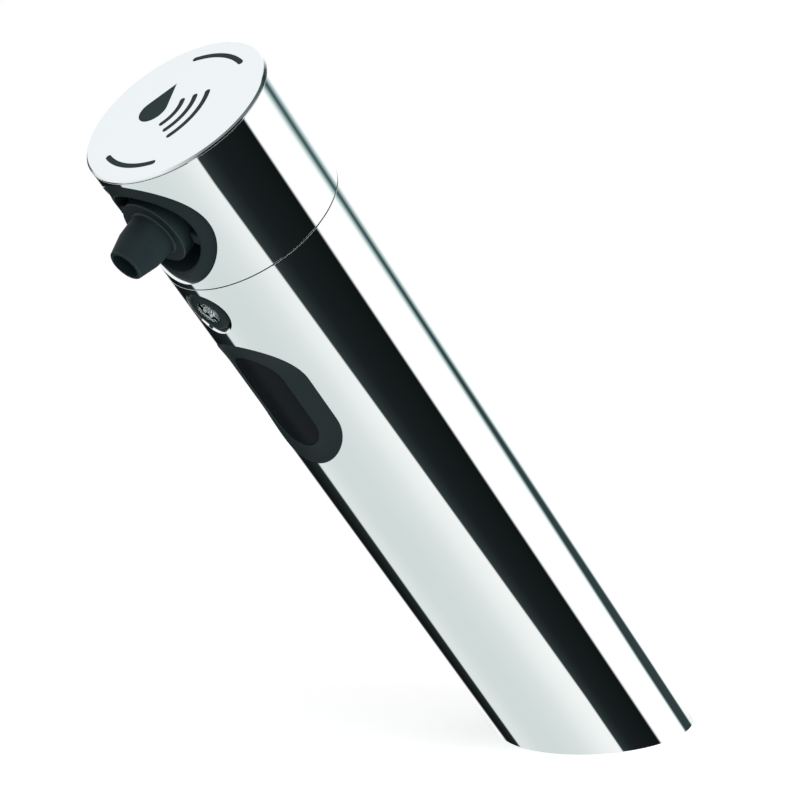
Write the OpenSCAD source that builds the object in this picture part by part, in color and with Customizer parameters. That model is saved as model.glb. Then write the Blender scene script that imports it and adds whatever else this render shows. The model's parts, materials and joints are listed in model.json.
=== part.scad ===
// Automatic soap dispenser for a washbasin deck: a leaning chrome tube with a nozzle, an
// indicator light and a hand sensor on its front, and a motor-driven gear pump inside it.
// Millimetres. The tube's axis meets the deck at the origin, Z is up, the tube leans to -Y.
// Pieces are drawn in the tube's own frame, its axis as Z and its front as -Y, then leaned.

/* [Tube] */
// Outside diameter of the chrome tube
tube_d = 50; // [49:0.5:54]
// Wall of the chrome tube
tube_wall = 2; // [1.6:0.1:2.2]
// Length on the axis, from the deck to the top face
tube_len = 244.5; // [240:0.5:280]
// Lean from upright, in degrees
lean = 40; // [34:1:43]
// Length of the head, its cap included
head_len = 36.5; // [36.5:0.5:38]
// Height of the gasket that shows as the seam under the head
seam_gap = 0.3; // [0.2:0.05:0.4]
// Chamfer on the tube ends at the seam
seam_chamfer = 0.15; // [0.1:0.05:0.3]

/* [Cap] */
// Thickness of the cap's disc
cap_t = 0.8; // [0.8:0.1:1.1]
// Shadow gap under the disc
cap_gap = 0.2; // [0.1:0.05:0.25]
// Chamfer round the disc's top edge
cap_chamfer = 0.5; // [0.1:0.1:0.5]
// Depth of the spigot that holds the cap in the head
cap_spigot = 5; // [4:0.5:7]
// Wall of that spigot
cap_spigot_wall = 2; // [1.5:0.1:2.5]

/* [Nozzle surround] */
// Height of the nozzle's axis below the top face
nozzle_drop = 18.2; // [18.2:0.1:18.4]
// Outside diameter of the surround
bezel_d = 32.8; // [31:0.2:32.8]
// Sink of its face below the tube's front
bezel_sink = 0.6; // [0.2:0.1:0.8]
// Diameter of its recess
mouth_d = 25.2; // [25:0.2:26.4]
// Depth of the recess floor behind the tube's front
recess_depth = 10; // [10:0.1:10.6]
// Thickness of the recess floor
bezel_floor = 3; // [2.6:0.1:3.2]
// Reach of the two ears that hold the surround behind the shell
bezel_ear = 2; // [1.4:0.1:2]
// Height of an ear up the tube
bezel_ear_h = 18; // [14:0.5:18]
// Width of each bayonet tab
tab_w = 3.2; // [3:0.2:7]
// Thickness of each bayonet tab
tab_t = 2; // [1.6:0.1:2.2]
// Room under a bayonet tab
tab_room = 4.4; // [3:0.1:4.6]
// Turn of the tabs and lugs round the nozzle, down on the right
tab_turn = 18; // [0:1:30]

/* [Nozzle] */
// Reach of the nozzle's tip beyond the tube's front
nozzle_reach = 10.5; // [9:0.5:14]
// Outside diameter at the tip
tip_d = 8.8; // [8.6:0.1:9.2]
// Bore at the tip
tip_bore = 7.2; // [6.4:0.1:7.4]
// Length of the taper to the tip
tip_taper = 5.5; // [4:0.5:7]
// Diameter of the barrel where its taper starts
barrel_d = 11.8; // [11.2:0.1:12]
// Diameter of the barrel at the flange
barrel_foot_d = 12.6; // [12.2:0.1:13.4]
// Diameter of the flange
flange_d = 18.8; // [17.6:0.2:19]
// Depth of the flange's face behind the tube's front
flange_set = 1; // [0.6:0.1:1.6]
// Chamfer on the nozzle's edges
nozzle_chamfer = 0.4; // [0.2:0.1:0.5]
// Depth of the wide bore from the tip
tip_bore_depth = 13; // [10:0.5:15]
// Bore through the shank
shank_bore = 3.6; // [3.4:0.1:4]
// Diameter of the shank
shank_d = 10; // [9.8:0.1:10.2]
// Length of the shank behind the surround
shank_len = 6; // [5.6:0.1:6.4]
// Reach of each bayonet lug beyond the flange
lug_reach = 2.2; // [1.8:0.1:2.4]
// Width of each bayonet lug
lug_w = 5; // [4:0.2:6]

/* [Seal rings] */
// Section of the nozzle's seal ring
nozzle_ring_d = 0.96; // [0.9:0.01:0.98]
// Depth of its groove
nozzle_groove = 1; // [1:0.02:1.1]
// Width of its groove
nozzle_groove_w = 1.4; // [1.2:0.1:1.6]

/* [Spout and valve] */
// Outside diameter of the spout block
spout_d = 18; // [17.4:0.2:18.4]
// Length of the valve chamber
chamber_len = 9; // [8.5:0.1:9.5]
// Diameter of the valve chamber
chamber_d = 8; // [7.8:0.1:8.4]
// Diameter of the valve's port
port_d = 4; // [3.4:0.1:4.4]
// Travel of the poppet when it opens
valve_stroke = 1.5; // [1:0.1:1.8]
// Diameter of the poppet's head
poppet_d = 6.6; // [6.2:0.1:7]
// Thickness of the poppet's head
poppet_t = 2; // [1.8:0.1:2.4]
// Diameter of the poppet's stem
stem_d = 2.5; // [2.2:0.1:2.6]
// Thickness of the rubber seal
seal_t = 0.75; // [0.6:0.05:0.9]
// Diameter of the rubber seal
seal_d = 6; // [5.6:0.1:6.2]
// Diameter of the spring retainer
retainer_d = 9.1; // [8.9:0.1:9.3]
// Thickness of the spring retainer
retainer_t = 1.4; // [1.2:0.1:1.6]
// Number of flow holes through the retainer
flow_holes = 6; // [4:1:8]
// Diameter of each flow hole
flow_hole_d = 1.3; // [1:0.1:1.4]
// Wire of the valve's spring
spring_wire = 0.5; // [0.4:0.05:0.55]
// Mean diameter of the valve's spring
spring_d = 4.6; // [4.4:0.1:4.8]
// Turns of the valve's spring
spring_turns = 5; // [4:1:6]

/* [Indicator] */
// Height of the light below the top face
indicator_drop = 45; // [44.5:0.1:46]
// Diameter of the black ring
indicator_d = 12; // [11:0.2:12.6]
// Diameter of the clear lens
lens_d = 7; // [6.4:0.1:7.4]
// Depth of the lens's crown behind the tube's front
lens_set = 0.1; // [0.1:0.1:0.6]
// Radius of the lens's crown
lens_crown = 20; // [6:1:30]
// Thickness of the lens
lens_t = 4.2; // [4:0.1:4.6]
// Height of the lens's shoulder
lens_shoulder = 1; // [0.8:0.1:1.2]
// Reach of the lens's shoulder
lens_lip = 0.7; // [0.5:0.1:0.8]
// Reach of the ring's flange behind the tube
indicator_lip = 1.5; // [1:0.1:1.8]
// Depth of the ring behind the tube's front
indicator_depth = 6.8; // [6.4:0.1:7.2]

/* [Sensor] */
// Height of the sensor's middle below the top face
sensor_drop = 78.4; // [78:0.2:84]
// Width of the black surround
sensor_w = 29.5; // [27:0.5:30]
// Length of the black surround
sensor_l = 44; // [42:0.5:46]
// Reach of the surround's flange behind the tube
sensor_lip = 1.75; // [1:0.05:1.8]
// Depth of the surround behind the tube's front
sensor_depth = 7.8; // [7.4:0.1:8]
// Width of the window
window_w = 16.4; // [15:0.2:16.8]
// Length of the window
window_l = 32.5; // [30:0.5:34]
// Depth of the window's seat behind the tube's front
window_set = 2.8; // [2.1:0.1:2.9]
// Depth of the window's curved face behind the tube's face
window_sink = 1.1; // [0.3:0.1:1.2]
// Thickness of the window
window_t = 1.6; // [1.2:0.1:2]
// Reach of the window behind the surround
window_lip = 0.8; // [0.6:0.1:0.9]
// Distance between the infrared emitter and receiver
ir_pitch = 16; // [14:0.5:17]
// Diameter of the infrared emitter and receiver
ir_d = 5; // [4.6:0.1:5.2]
// Length of the infrared emitter and receiver
ir_len = 5.6; // [5:0.1:5.8]

/* [Boards] */
// Thickness of both circuit boards
board_t = 1.6; // [1.2:0.1:1.6]
// Depth of the sensor board's face behind the tube's front
board_set = 10; // [10:0.1:10.4]
// Distance of the control board behind the tube's axis
control_y = 6; // [5:0.5:6.5]
// Length of the sensor board below the sensor's middle
board_drop = 26; // [24:0.5:28]
// Diameter of the indicator's light
led_d = 3; // [2.6:0.1:3.2]
// Length of the indicator's light
led_len = 5; // [4.6:0.1:5.2]
// Diameter of the capacitor
cap_d = 8; // [6:0.5:9]
// Length of the capacitor
cap_len = 11; // [9:0.5:13]
// Thickness of the ribbon between the boards
ribbon_t = 0.4; // [0.3:0.1:0.6]
// Width of that ribbon
ribbon_w = 10; // [6:1:14]
// Side of the controller chip
chip_w = 7; // [5:0.5:8]
// Thickness of the controller chip
chip_t = 1.2; // [1:0.1:1.6]
// Width of the motor driver
driver_w = 6; // [5:0.5:7]
// Height of the motor driver
driver_h = 8; // [6:0.5:10]
// Thickness of the motor driver
driver_t = 2; // [1.6:0.1:2.4]
// Radius of the lights' round tops, as a share of their diameter
dome_share = 0.7; // [0.6:0.05:0.9]

/* [Frame] */
// Wall of the collar inside the seam
collar_t = 2.2; // [1.8:0.1:2.4]
// Height of the collar
collar_h = 16; // [12:0.5:16]
// Thickness of the frame's plates
plate_t = 3; // [2.6:0.2:3.4]
// Inner distance of each cheek from the middle
cheek_in = 11.5; // [11:0.1:11.6]
// Thickness of each cheek
cheek_t = 4; // [3.8:0.1:4]
// Depth of a board's groove in a cheek
groove_depth = 1.2; // [1:0.1:1.4]
// Reach of the cheeks behind the axis
cheek_back = 12; // [11:0.5:13]
// Diameter of the legs round the screws
leg_d = 5.8; // [5.4:0.1:5.8]
// Angle of the legs from the sideways axis
leg_angle = 55; // [52:1:57]
// Height of the lower frame
lower_h = 34; // [30:1:40]
// Room between the motor and the plate over it
motor_room = 5; // [4:0.5:7]
// Half width of the spout's saddle
saddle_half = 7; // [5:0.5:7]
// Half length of the spout's saddle
saddle_reach = 9; // [7:0.5:9]

/* [Screws] */
// Diameter of the long screws and foot screws
screw_d = 3; // [2.5:0.1:3]
// Diameter of their heads
head_d = 5.4; // [5:0.1:5.6]
// Height of their heads
head_h = 2.1; // [1.8:0.1:2.2]
// Bite of the long screws in the upper frame
screw_bite = 12; // [8:1:16]
// Bite of the foot screws in the base plug
foot_bite = 6; // [5:0.5:8]
// Diameter of the cradle and motor screws
small_screw_d = 2.2; // [2:0.1:2.4]
// Diameter of their heads
small_head_d = 3.8; // [3.4:0.1:4]
// Height of their heads
small_head_h = 1.4; // [1.2:0.1:1.6]
// Bite of the cradle screws
small_bite = 8; // [6:0.5:10]

/* [Gear pump] */
// Teeth on each gear
teeth = 11; // [11:1:12]
// Module of the gears
gear_module = 1; // [0.95:0.01:1.02]
// Pressure angle of the teeth
pressure_angle = 25; // [24:0.5:27]
// Width of the gears
gear_w = 10; // [8:0.5:12]
// Play between the teeth
backlash = 0.16; // [0.1:0.02:0.24]
// Gap between the tooth tips and the pump body
tip_gap = 0.08; // [0.05:0.01:0.1]
// Gap at the gears' ends
end_gap = 0.1; // [0.05:0.05:0.2]
// Floor of the pump body
pump_floor = 4; // [3.5:0.5:6]
// Thickness of the pump's cover
cover_t = 4; // [3.6:0.2:5]
// Thickness of the pump's gasket
gasket_t = 0.4; // [0.3:0.1:0.6]
// Half width of the pump's ports
pocket_half = 2; // [1.8:0.1:2.2]
// Diameter of the idler's pin
pin_d = 3; // [2.6:0.1:3.2]
// Depth of the pin in the pump's floor
pin_bite = 3; // [2:0.2:3]
// Outside diameter of the shaft seal
shaft_seal_d = 7.9; // [7.4:0.1:8.4]
// Height of the shaft seal
shaft_seal_h = 2.4; // [2:0.1:2.6]

/* [Motor] */
// Diameter of the motor
motor_d = 24.4; // [23.6:0.2:24.8]
// Length of the motor
motor_len = 31; // [30:0.5:34]
// Wall of the motor's can
can_wall = 0.8; // [0.6:0.1:0.9]
// Thickness of the motor's end cap
end_cap_t = 3; // [2.6:0.2:3.4]
// Diameter of the motor's shaft
shaft_d = 3; // [2.6:0.1:3.2]
// Outside diameter of its two bushes
bush_d = 6; // [5.6:0.1:6.4]
// Length of each bush
bush_len = 3; // [2.4:0.1:3]
// Air gap between the armature and the magnets
air_gap = 0.9; // [0.5:0.1:1.5]
// Length of the armature
armature_len = 16; // [14:0.5:17]
// Slots in the armature
armature_slots = 5; // [3:2:7]
// Thickness of the magnets
magnet_t = 2.1; // [1.8:0.1:2.3]
// Gap between the two magnets
magnet_gap = 6; // [4:0.5:8]
// Diameter of the commutator
commutator_d = 6.4; // [6:0.1:6.8]
// Length of the commutator
commutator_len = 4; // [3:0.5:4]
// Distance of the motor's leads from its axis
lead_pitch = 7; // [6:0.2:8]
// Distance of the motor's screws from its axis
motor_screw_r = 9; // [8.9:0.1:9.4]

/* [Soap line and lead] */
// Bore of the soap tubes
hose_bore = 4.2; // [4:0.1:4.6]
// Wall of the soap tubes
hose_wall = 1.2; // [1:0.1:1.4]
// Length of the stubs that the tubes push on
stub_len = 10; // [7:0.5:11]
// Bore of the stubs
stub_bore = 2.8; // [2.4:0.1:3]
// Distance of the delivery tube from the bore's wall
line_inset = 8; // [7.5:0.1:8.5]
// Gap between the motor and the delivery tube behind it
line_gap = 0.81; // [0.5:0.01:1.5]
// Distance of the inlet in front of the axis
inlet_y = 6; // [5.8:0.1:6.4]
// Sideways place of the power lead
lead_x = 8.5; // [8:0.1:8.7]
// Place of the power lead behind the axis
lead_y = 11.5; // [11.2:0.1:11.8]
// Diameter of the power lead
lead_d = 3.2; // [2.8:0.1:3.6]
// Diameter of the motor's leads
wire_d = 1.4; // [1:0.1:1.6]

/* [Base] */
// Height of the base plug on the axis
plug_h = 30.5; // [29:0.5:36]
// Distance between the two stud holes
stud_pitch = 34; // [30:0.5:34]
// Diameter of the stud holes
stud_d = 5; // [4:0.1:5]
// Depth of the stud holes, the inlet and the cable hole
socket_depth = 12; // [11:0.5:13]
// Point angle of the drill for the stud holes
drill_angle = 118; // [90:2:140]
// Chamfer round the mouths of the inlet and cable sockets
socket_chamfer = 0.6; // [0.4:0.1:1]
// Bore for the supply tube
supply_d = 6.1; // [5:0.1:6.2]
// Outside diameter of the inlet fitting
fitting_d = 10.9; // [9.5:0.1:11.1]
// Bore for the mains-adapter cable
cable_d = 5.2; // [4.4:0.1:5.4]
// Outside diameter of the cable gland
gland_d = 8.4; // [7.6:0.1:8.8]
// Length of the cable gland
gland_len = 6; // [5:0.5:8]
// Width of the deck gasket
deck_gasket_w = 1.6; // [1.2:0.1:1.6]
// Thickness of the deck gasket
deck_gasket_t = 1.8; // [1.2:0.1:2]
// Distance of the deck gasket from the plug's edge
deck_gasket_inset = 0.7; // [0.5:0.1:0.7]

/* [Fits] */
// Gap round pieces that stay put
slip = 0.1; // [0.05:0.01:0.12]
// Gap round pieces that turn or slide
run = 0.05; // [0.03:0.01:0.06]
// Gap between pieces that move apart
free = 0.3; // [0.2:0.05:0.35]

/* [Hidden] */
$fn = 96;
// How far a cutting tool runs past what it cuts
over = 1;
// Depth of the tooth roots, in modules
root_depth = 1.25;
// Steps up each tooth flank
flank_steps = 6;
tube_r = tube_d / 2;
bore_r = tube_r - tube_wall;
fit_r = bore_r - slip;
frame_r = bore_r - slip - free;
seam_z = tube_len - head_len;
cap_z = tube_len - cap_t;
shell_top = cap_z - cap_gap;
foot_z = -(tube_r + over) * tan(lean);
nozzle_z = tube_len - nozzle_drop;
indicator_z = tube_len - indicator_drop;
sensor_z = tube_len - sensor_drop;
bezel_r = bezel_d / 2;
mouth_r = mouth_d / 2;
front_cut = bezel_r + slip + over;
recess_k = tube_r - recess_depth;
bezel_back = recess_k - bezel_floor;
tab_k = recess_k + tab_room;
flange_r = flange_d / 2;
flange_k = tube_r - flange_set;
tip_k = tube_r + nozzle_reach;
shank_r = shank_d / 2;
shank_k = bezel_back - shank_len;
groove_k = (shank_k + bezel_back) / 2;
retainer_k = shank_k - free - retainer_t;
seat_k = retainer_k - chamber_len;
poppet_k = seat_k + run + seal_t;
stem_k = retainer_k + retainer_t - run;
spout_r = spout_d / 2;
hose_r = hose_bore / 2 + hose_wall;
stub_r = hose_bore / 2 - run;
line_y = bore_r - line_inset;
gear_r = teeth * gear_module / 2;
pump_y = line_y - hose_r - line_gap - sqrt(pow(motor_d / 2, 2) - gear_r * gear_r);
spout_back = -(line_y + hose_r + over);
lens_k = tube_r - lens_set;
window_k = tube_r - window_set;
board_k = tube_r - board_set;
gear_tip_r = gear_r + gear_module;
gear_root_r = gear_r - root_depth * gear_module;
gear_base_r = gear_r * cos(pressure_angle);
pump_z = plug_h + lower_h;
gear_z = pump_z + pump_floor + end_gap;
body_top = gear_z + gear_w + end_gap;
cover_z = body_top + gasket_t;
motor_z = cover_z + cover_t;
motor_top = motor_z + motor_len;
mid_z = motor_top + motor_room;
cheek_z = mid_z + plate_t;
cheek_out = cheek_in + cheek_t;
cheek_front = sqrt(frame_r * frame_r - cheek_out * cheek_out);
cheek_top = indicator_z + indicator_d / 2 - over;
board_half = cheek_in + groove_depth - slip;
screw_x = cheek_in + cheek_t / 2;
leg_reach = frame_r - leg_d / 2;
can_r = motor_d / 2 - can_wall;
armature_d = 2 * (can_r - magnet_t - air_gap);
armature_z = motor_z + can_wall + bush_len + over;
commutator_z = armature_z + armature_len + over;
end_cap_z = motor_top - end_cap_t;
terminal_z = cheek_z + over;
inlet_deck_y = deck_y(-inlet_y);
lead_deck_y = deck_y(lead_y);
gasket_r = fit_r - deck_gasket_inset;

// Place on the deck of an upright socket whose top comes out at y in the tube's frame
function deck_y(y) = (y - socket_depth * sin(lean)) / cos(lean);
// Height in the tube's frame of the top of an upright socket at y on the deck
function socket_z(y) = socket_depth * cos(lean) - y * sin(lean);

// Involute angle of a point on a tooth flank at radius r
function involute(r) =
    let (a = acos(min(1, gear_base_r / r)))
    tan(a) * 180 / PI - a;
// Half angle of a tooth at radius r
function tooth_half(r) =
    90 / teeth - backlash / gear_r * 90 / PI + involute(gear_r) - involute(max(r, gear_base_r));
flank = [
    for (i = [0 : flank_steps])
    let (r = gear_root_r + (gear_tip_r - gear_root_r) * i / flank_steps)
    [r, tooth_half(r)]
];
gear_points = [
    for (t = [0 : teeth - 1])
    for (i = [0 : 2 * len(flank) - 1])
    let (
        up = i < len(flank),
        f = up ? flank[i] : flank[2 * len(flank) - 1 - i],
        a = t * 360 / teeth + (up ? -f[1] : f[1])
    )
    [f[0] * cos(a), f[0] * sin(a)]
];

module leaned() {
    rotate([lean, 0, 0]) children();
}

// Local Z points out of the tube's front, local Y up the tube
module on_front(z) {
    translate([0, 0, z]) rotate([90, 0, 0]) children();
}

module rod(r, z0, z1) {
    translate([0, 0, z0]) cylinder(r = r, h = z1 - z0);
}

module ring(r_out, r_in, z0, z1) {
    difference() {
        rod(r_out, z0, z1);
        rod(r_in, z0 - over, z1 + over);
    }
}

// Bar with round ends, w wide and l long up the tube
module slot(w, l, k0, k1) {
    translate([0, 0, k0]) linear_extrude(k1 - k0) {
        square([w, l - w], center = true);
        for (s = [-1, 1]) translate([0, s * (l - w) / 2]) circle(d = w);
    }
}

// Everything under the deck plane
module below_deck() {
    translate([-tube_len, -tube_len, -2 * tube_len]) cube(2 * tube_len);
}

// Upright socket in the base, from the deck
module deck_socket(x, y, r, depth) {
    translate([x, y, -over]) cylinder(r = r, h = depth + over);
}

// Stud hole in the base, with the drill's point at its end
module stud_hole(x) {
    r = stud_d / 2;
    deck_socket(x, 0, r, socket_depth);
    translate([x, 0, socket_depth]) cylinder(r1 = r, r2 = 0, h = r / tan(drill_angle / 2));
}

// Socket in the base that a piece is pushed into, with a chamfered mouth
module push_socket(x, y, r, depth) {
    lead_in = socket_chamfer + over;
    deck_socket(x, y, r, depth);
    translate([x, y, -over]) cylinder(r1 = r + lead_in, r2 = r, h = lead_in);
}

// Front of the bore that the surround and the light take up
module front_sector(z0, z1) {
    translate([-front_cut, -tube_d, z0]) cube([2 * front_cut, tube_d - bezel_back + over, z1 - z0]);
}

module at_motor() {
    translate([-gear_r, pump_y, 0]) children();
}

module at_idler() {
    translate([gear_r, pump_y, 0]) children();
}

module at_legs() {
    for (a = [leg_angle, 180 - leg_angle, 180 + leg_angle, -leg_angle])
        translate([leg_reach * cos(a), leg_reach * sin(a), 0]) children();
}

module at_motor_screws() {
    for (s = [-1, 1]) translate([-gear_r, pump_y + s * motor_screw_r, 0]) children();
}

module at_motor_leads() {
    for (s = [-1, 1]) translate([-gear_r + s * lead_pitch / 2, control_y / 2 + over, 0]) children();
}

module at_cradle_screws() {
    for (s = [-1, 1], y = [-saddle_reach + over, saddle_reach]) translate([s * screw_x, y, 0]) children();
}

module at_foot_screws() {
    for (s = [-1, 1]) translate([s * stud_pitch / 2, 0, 0]) children();
}

module at_line() {
    translate([0, line_y, 0]) children();
}

module at_inlet() {
    translate([0, -inlet_y, 0]) children();
}

module at_lead() {
    translate([lead_x, lead_y, 0]) children();
}

module gear(bore) {
    translate([0, 0, gear_z]) linear_extrude(gear_w) difference() {
        polygon(gear_points);
        circle(d = bore);
    }
}

// Screw with its head under z0 and its point at z1
module screw(d, z0, z1, d_head, h_head) {
    rod(d / 2, z0 - over, z1);
    rod(d_head / 2, z0 - h_head, z0);
}

// Pieces of the shell

module top_cap() {
    color("Silver") leaned() {
        rotate_extrude() polygon([
            [0, cap_z], [tube_r, cap_z], [tube_r, tube_len - cap_chamfer],
            [tube_r - cap_chamfer, tube_len], [0, tube_len]
        ]);
        difference() {
            ring(fit_r, fit_r - cap_spigot_wall, cap_z - cap_spigot, cap_z);
            front_sector(cap_z - cap_spigot - over, cap_z);
        }
    }
}

module head_shell() {
    z0 = seam_z + seam_gap / 2;
    color("Silver") leaned() difference() {
        rotate_extrude() polygon([
            [bore_r, z0], [tube_r - seam_chamfer, z0], [tube_r, z0 + seam_chamfer],
            [tube_r, shell_top], [bore_r, shell_top]
        ]);
        on_front(nozzle_z) rod(bezel_r + slip, 0, tube_d);
    }
}

module body_tube() {
    z1 = seam_z - seam_gap / 2;
    color("Silver") difference() {
        leaned() difference() {
            rotate_extrude() polygon([
                [bore_r, foot_z], [tube_r, foot_z], [tube_r, z1 - seam_chamfer],
                [tube_r - seam_chamfer, z1], [bore_r, z1]
            ]);
            on_front(indicator_z) rod(indicator_d / 2 + slip, 0, tube_d);
            on_front(sensor_z) slot(sensor_w + 2 * slip, sensor_l + 2 * slip, 0, tube_d);
        }
        below_deck();
    }
}

module seam_gasket() {
    color("DimGray") leaned()
        ring(tube_r - 2 * seam_chamfer, bore_r + slip, seam_z - seam_gap / 2, seam_z + seam_gap / 2);
}

module head_collar() {
    color("DimGray") leaned() difference() {
        ring(fit_r, fit_r - collar_t, seam_z - collar_h / 2, seam_z + collar_h / 2);
        front_sector(seam_z - collar_h, seam_z + collar_h);
    }
}

// Nozzle, its surround and the spout behind them

module nozzle_bezel() {
    color("DimGray") leaned() difference() {
        union() {
            intersection() {
                on_front(nozzle_z) rod(bezel_r, bezel_back, tube_d);
                rod(tube_r - bezel_sink, nozzle_z - tube_r, nozzle_z + tube_r);
            }
            intersection() {
                on_front(nozzle_z) rod(bezel_r + bezel_ear, bezel_back, tube_d);
                rod(fit_r, nozzle_z - bezel_ear_h / 2, nozzle_z + bezel_ear_h / 2);
            }
        }
        on_front(nozzle_z) {
            difference() {
                rod(mouth_r, recess_k, tube_d);
                for (a = [0, 180]) rotate(a - tab_turn) translate([mouth_r, 0, tab_k + tab_t / 2])
                    cube([2 * (mouth_r - flange_r - 2 * free), tab_w, tab_t], center = true);
            }
            rod(shank_r + free, 0, tube_r);
        }
    }
}

module nozzle() {
    color("DimGray") leaned() on_front(nozzle_z) {
        rotate_extrude() polygon([
            [shank_bore / 2, shank_k], [shank_r, shank_k],
            [shank_r, groove_k - nozzle_groove_w / 2],
            [shank_r - nozzle_groove, groove_k - nozzle_groove_w / 2],
            [shank_r - nozzle_groove, groove_k + nozzle_groove_w / 2],
            [shank_r, groove_k + nozzle_groove_w / 2],
            [shank_r, recess_k + run], [flange_r, recess_k + run],
            [flange_r, flange_k - nozzle_chamfer], [flange_r - nozzle_chamfer, flange_k],
            [barrel_foot_d / 2 + nozzle_chamfer, flange_k], [barrel_foot_d / 2, flange_k + nozzle_chamfer],
            [barrel_d / 2, tip_k - tip_taper],
            [tip_d / 2 + nozzle_chamfer / 2, tip_k - nozzle_chamfer],
            [tip_d / 2 - nozzle_chamfer / 2, tip_k],
            [tip_bore / 2, tip_k], [tip_bore / 2, tip_k - tip_bore_depth],
            [shank_bore / 2, tip_k - tip_bore_depth - shank_bore / 2]
        ]);
        for (a = [0, 180]) rotate(a - tab_turn)
            translate([flange_r + (lug_reach - over) / 2, 0, recess_k + tab_room / 2])
                cube([lug_reach + over, lug_w, tab_room - 2 * free], center = true);
    }
}

module nozzle_seal() {
    color("Black") leaned() on_front(nozzle_z) translate([0, 0, groove_k])
        rotate_extrude() translate([shank_r - nozzle_ring_d / 2, 0]) circle(d = nozzle_ring_d);
}

module spout_block() {
    color("Gainsboro") leaned() on_front(nozzle_z) difference() {
        union() {
            rod(spout_r, spout_back, bezel_back);
            translate([0, 0, -line_y]) rotate([90, 0, 0]) rod(stub_r, 0, spout_r + stub_len);
        }
        rod(shank_r + run, retainer_k + retainer_t, bezel_back + over);
        rod(retainer_d / 2 + run, retainer_k, tube_r);
        rod(chamber_d / 2, seat_k, tube_r);
        rod(port_d / 2, -line_y - stub_bore / 2, tube_r);
        translate([0, 0, -line_y]) rotate([90, 0, 0]) rod(stub_bore / 2, 0, tube_d);
    }
}

module spring_retainer() {
    flow_r = (retainer_d + spring_d + spring_wire) / 4;
    color("White") leaned() on_front(nozzle_z) difference() {
        rod(retainer_d / 2, retainer_k, retainer_k + retainer_t);
        rod(stem_d / 2 + run, seat_k, tube_r);
        for (i = [0 : flow_holes - 1]) rotate(i * 360 / flow_holes) translate([flow_r, 0, 0])
            rod(flow_hole_d / 2, seat_k, tube_r);
    }
}

module valve_spring() {
    steps = 8 * spring_turns;
    sides = 6;
    wire_r = spring_wire / 2;
    z0 = poppet_k + poppet_t + wire_r + run;
    rise = retainer_k - wire_r - run - z0;
    points = [
        for (i = [0 : steps])
        for (j = [0 : sides - 1])
        let (
            a = 360 * spring_turns * i / steps,
            b = 360 * j / sides,
            r = spring_d / 2 + wire_r * cos(b)
        )
        [r * cos(a), r * sin(a), z0 + rise * i / steps + wire_r * sin(b)]
    ];
    sides_faces = [
        for (i = [0 : steps - 1])
        for (j = [0 : sides - 1])
        let (
            a = i * sides + j,
            b = i * sides + (j + 1) % sides
        )
        each [[a, a + sides, b + sides], [a, b + sides, b]]
    ];
    end_faces = [
        for (j = [1 : sides - 2])
        each [[0, j, j + 1], [steps * sides, steps * sides + j + 1, steps * sides + j]]
    ];
    color("LightGray") leaned() on_front(nozzle_z)
        polyhedron(points = points, faces = concat(sides_faces, end_faces));
}

module valve_poppet() {
    color("White") leaned() on_front(nozzle_z) {
        rod(poppet_d / 2, poppet_k, poppet_k + poppet_t);
        rod(stem_d / 2, poppet_k, stem_k);
    }
}

module valve_seal() {
    color("Black") leaned() on_front(nozzle_z) rod(seal_d / 2, seat_k + run, poppet_k);
}

module spout_cradle() {
    plate_r = fit_r - collar_t - free;
    color("DimGray") leaned() difference() {
        union() {
            intersection() {
                rod(plate_r, cheek_top, cheek_top + plate_t);
                translate([-tube_r, -bezel_back, cheek_top]) cube([tube_d, tube_d, plate_t]);
            }
            translate([-saddle_half, -saddle_reach, cheek_top])
                cube([2 * saddle_half, 2 * saddle_reach, nozzle_z - spout_r / 2 - cheek_top]);
        }
        on_front(nozzle_z) rod(spout_r + run, -tube_r, tube_r);
        at_line() rod(hose_r + free, 0, tube_len);
        at_cradle_screws() rod(small_screw_d / 2 + run, 0, tube_len);
    }
}

module cradle_screws() {
    z = cheek_top + plate_t;
    color("LightGray") leaned() at_cradle_screws() {
        rod(small_screw_d / 2, z - plate_t - small_bite, z + over);
        rod(small_head_d / 2, z, z + small_head_h);
    }
}

// Indicator light

module indicator_ring() {
    r = indicator_d / 2;
    back = tube_r - indicator_depth;
    shoulder_k = lens_k - lens_t + lens_shoulder;
    color("DimGray") leaned() difference() {
        union() {
            intersection() {
                on_front(indicator_z) rod(r, back, tube_d);
                rod(tube_r, indicator_z - tube_r, indicator_z + tube_r);
            }
            intersection() {
                on_front(indicator_z) rod(r + indicator_lip, back, tube_d);
                rod(fit_r, indicator_z - tube_r, indicator_z + tube_r);
            }
        }
        on_front(indicator_z) {
            rod(lens_d / 2 + run, 0, tube_d);
            rod(lens_d / 2 + lens_lip + run, 0, shoulder_k + run);
        }
    }
}

module indicator_lens() {
    color("White", 0.6) leaned() on_front(indicator_z) {
        intersection() {
            rod(lens_d / 2, lens_k - lens_t, lens_k);
            translate([0, 0, lens_k - lens_crown]) sphere(r = lens_crown);
        }
        rod(lens_d / 2 + lens_lip, lens_k - lens_t, lens_k - lens_t + lens_shoulder);
    }
}

// Round-topped light or receiver standing on the sensor board
module bulb(d, h) {
    intersection() {
        rod(d / 2, board_k, board_k + h);
        translate([0, 0, board_k + h - dome_share * d]) sphere(r = dome_share * d);
    }
    rod(d / 2, board_k, board_k + h - d / 2);
}

module indicator_led() {
    color("White") leaned() on_front(indicator_z) bulb(led_d, led_len);
}

// Hand sensor

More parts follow.
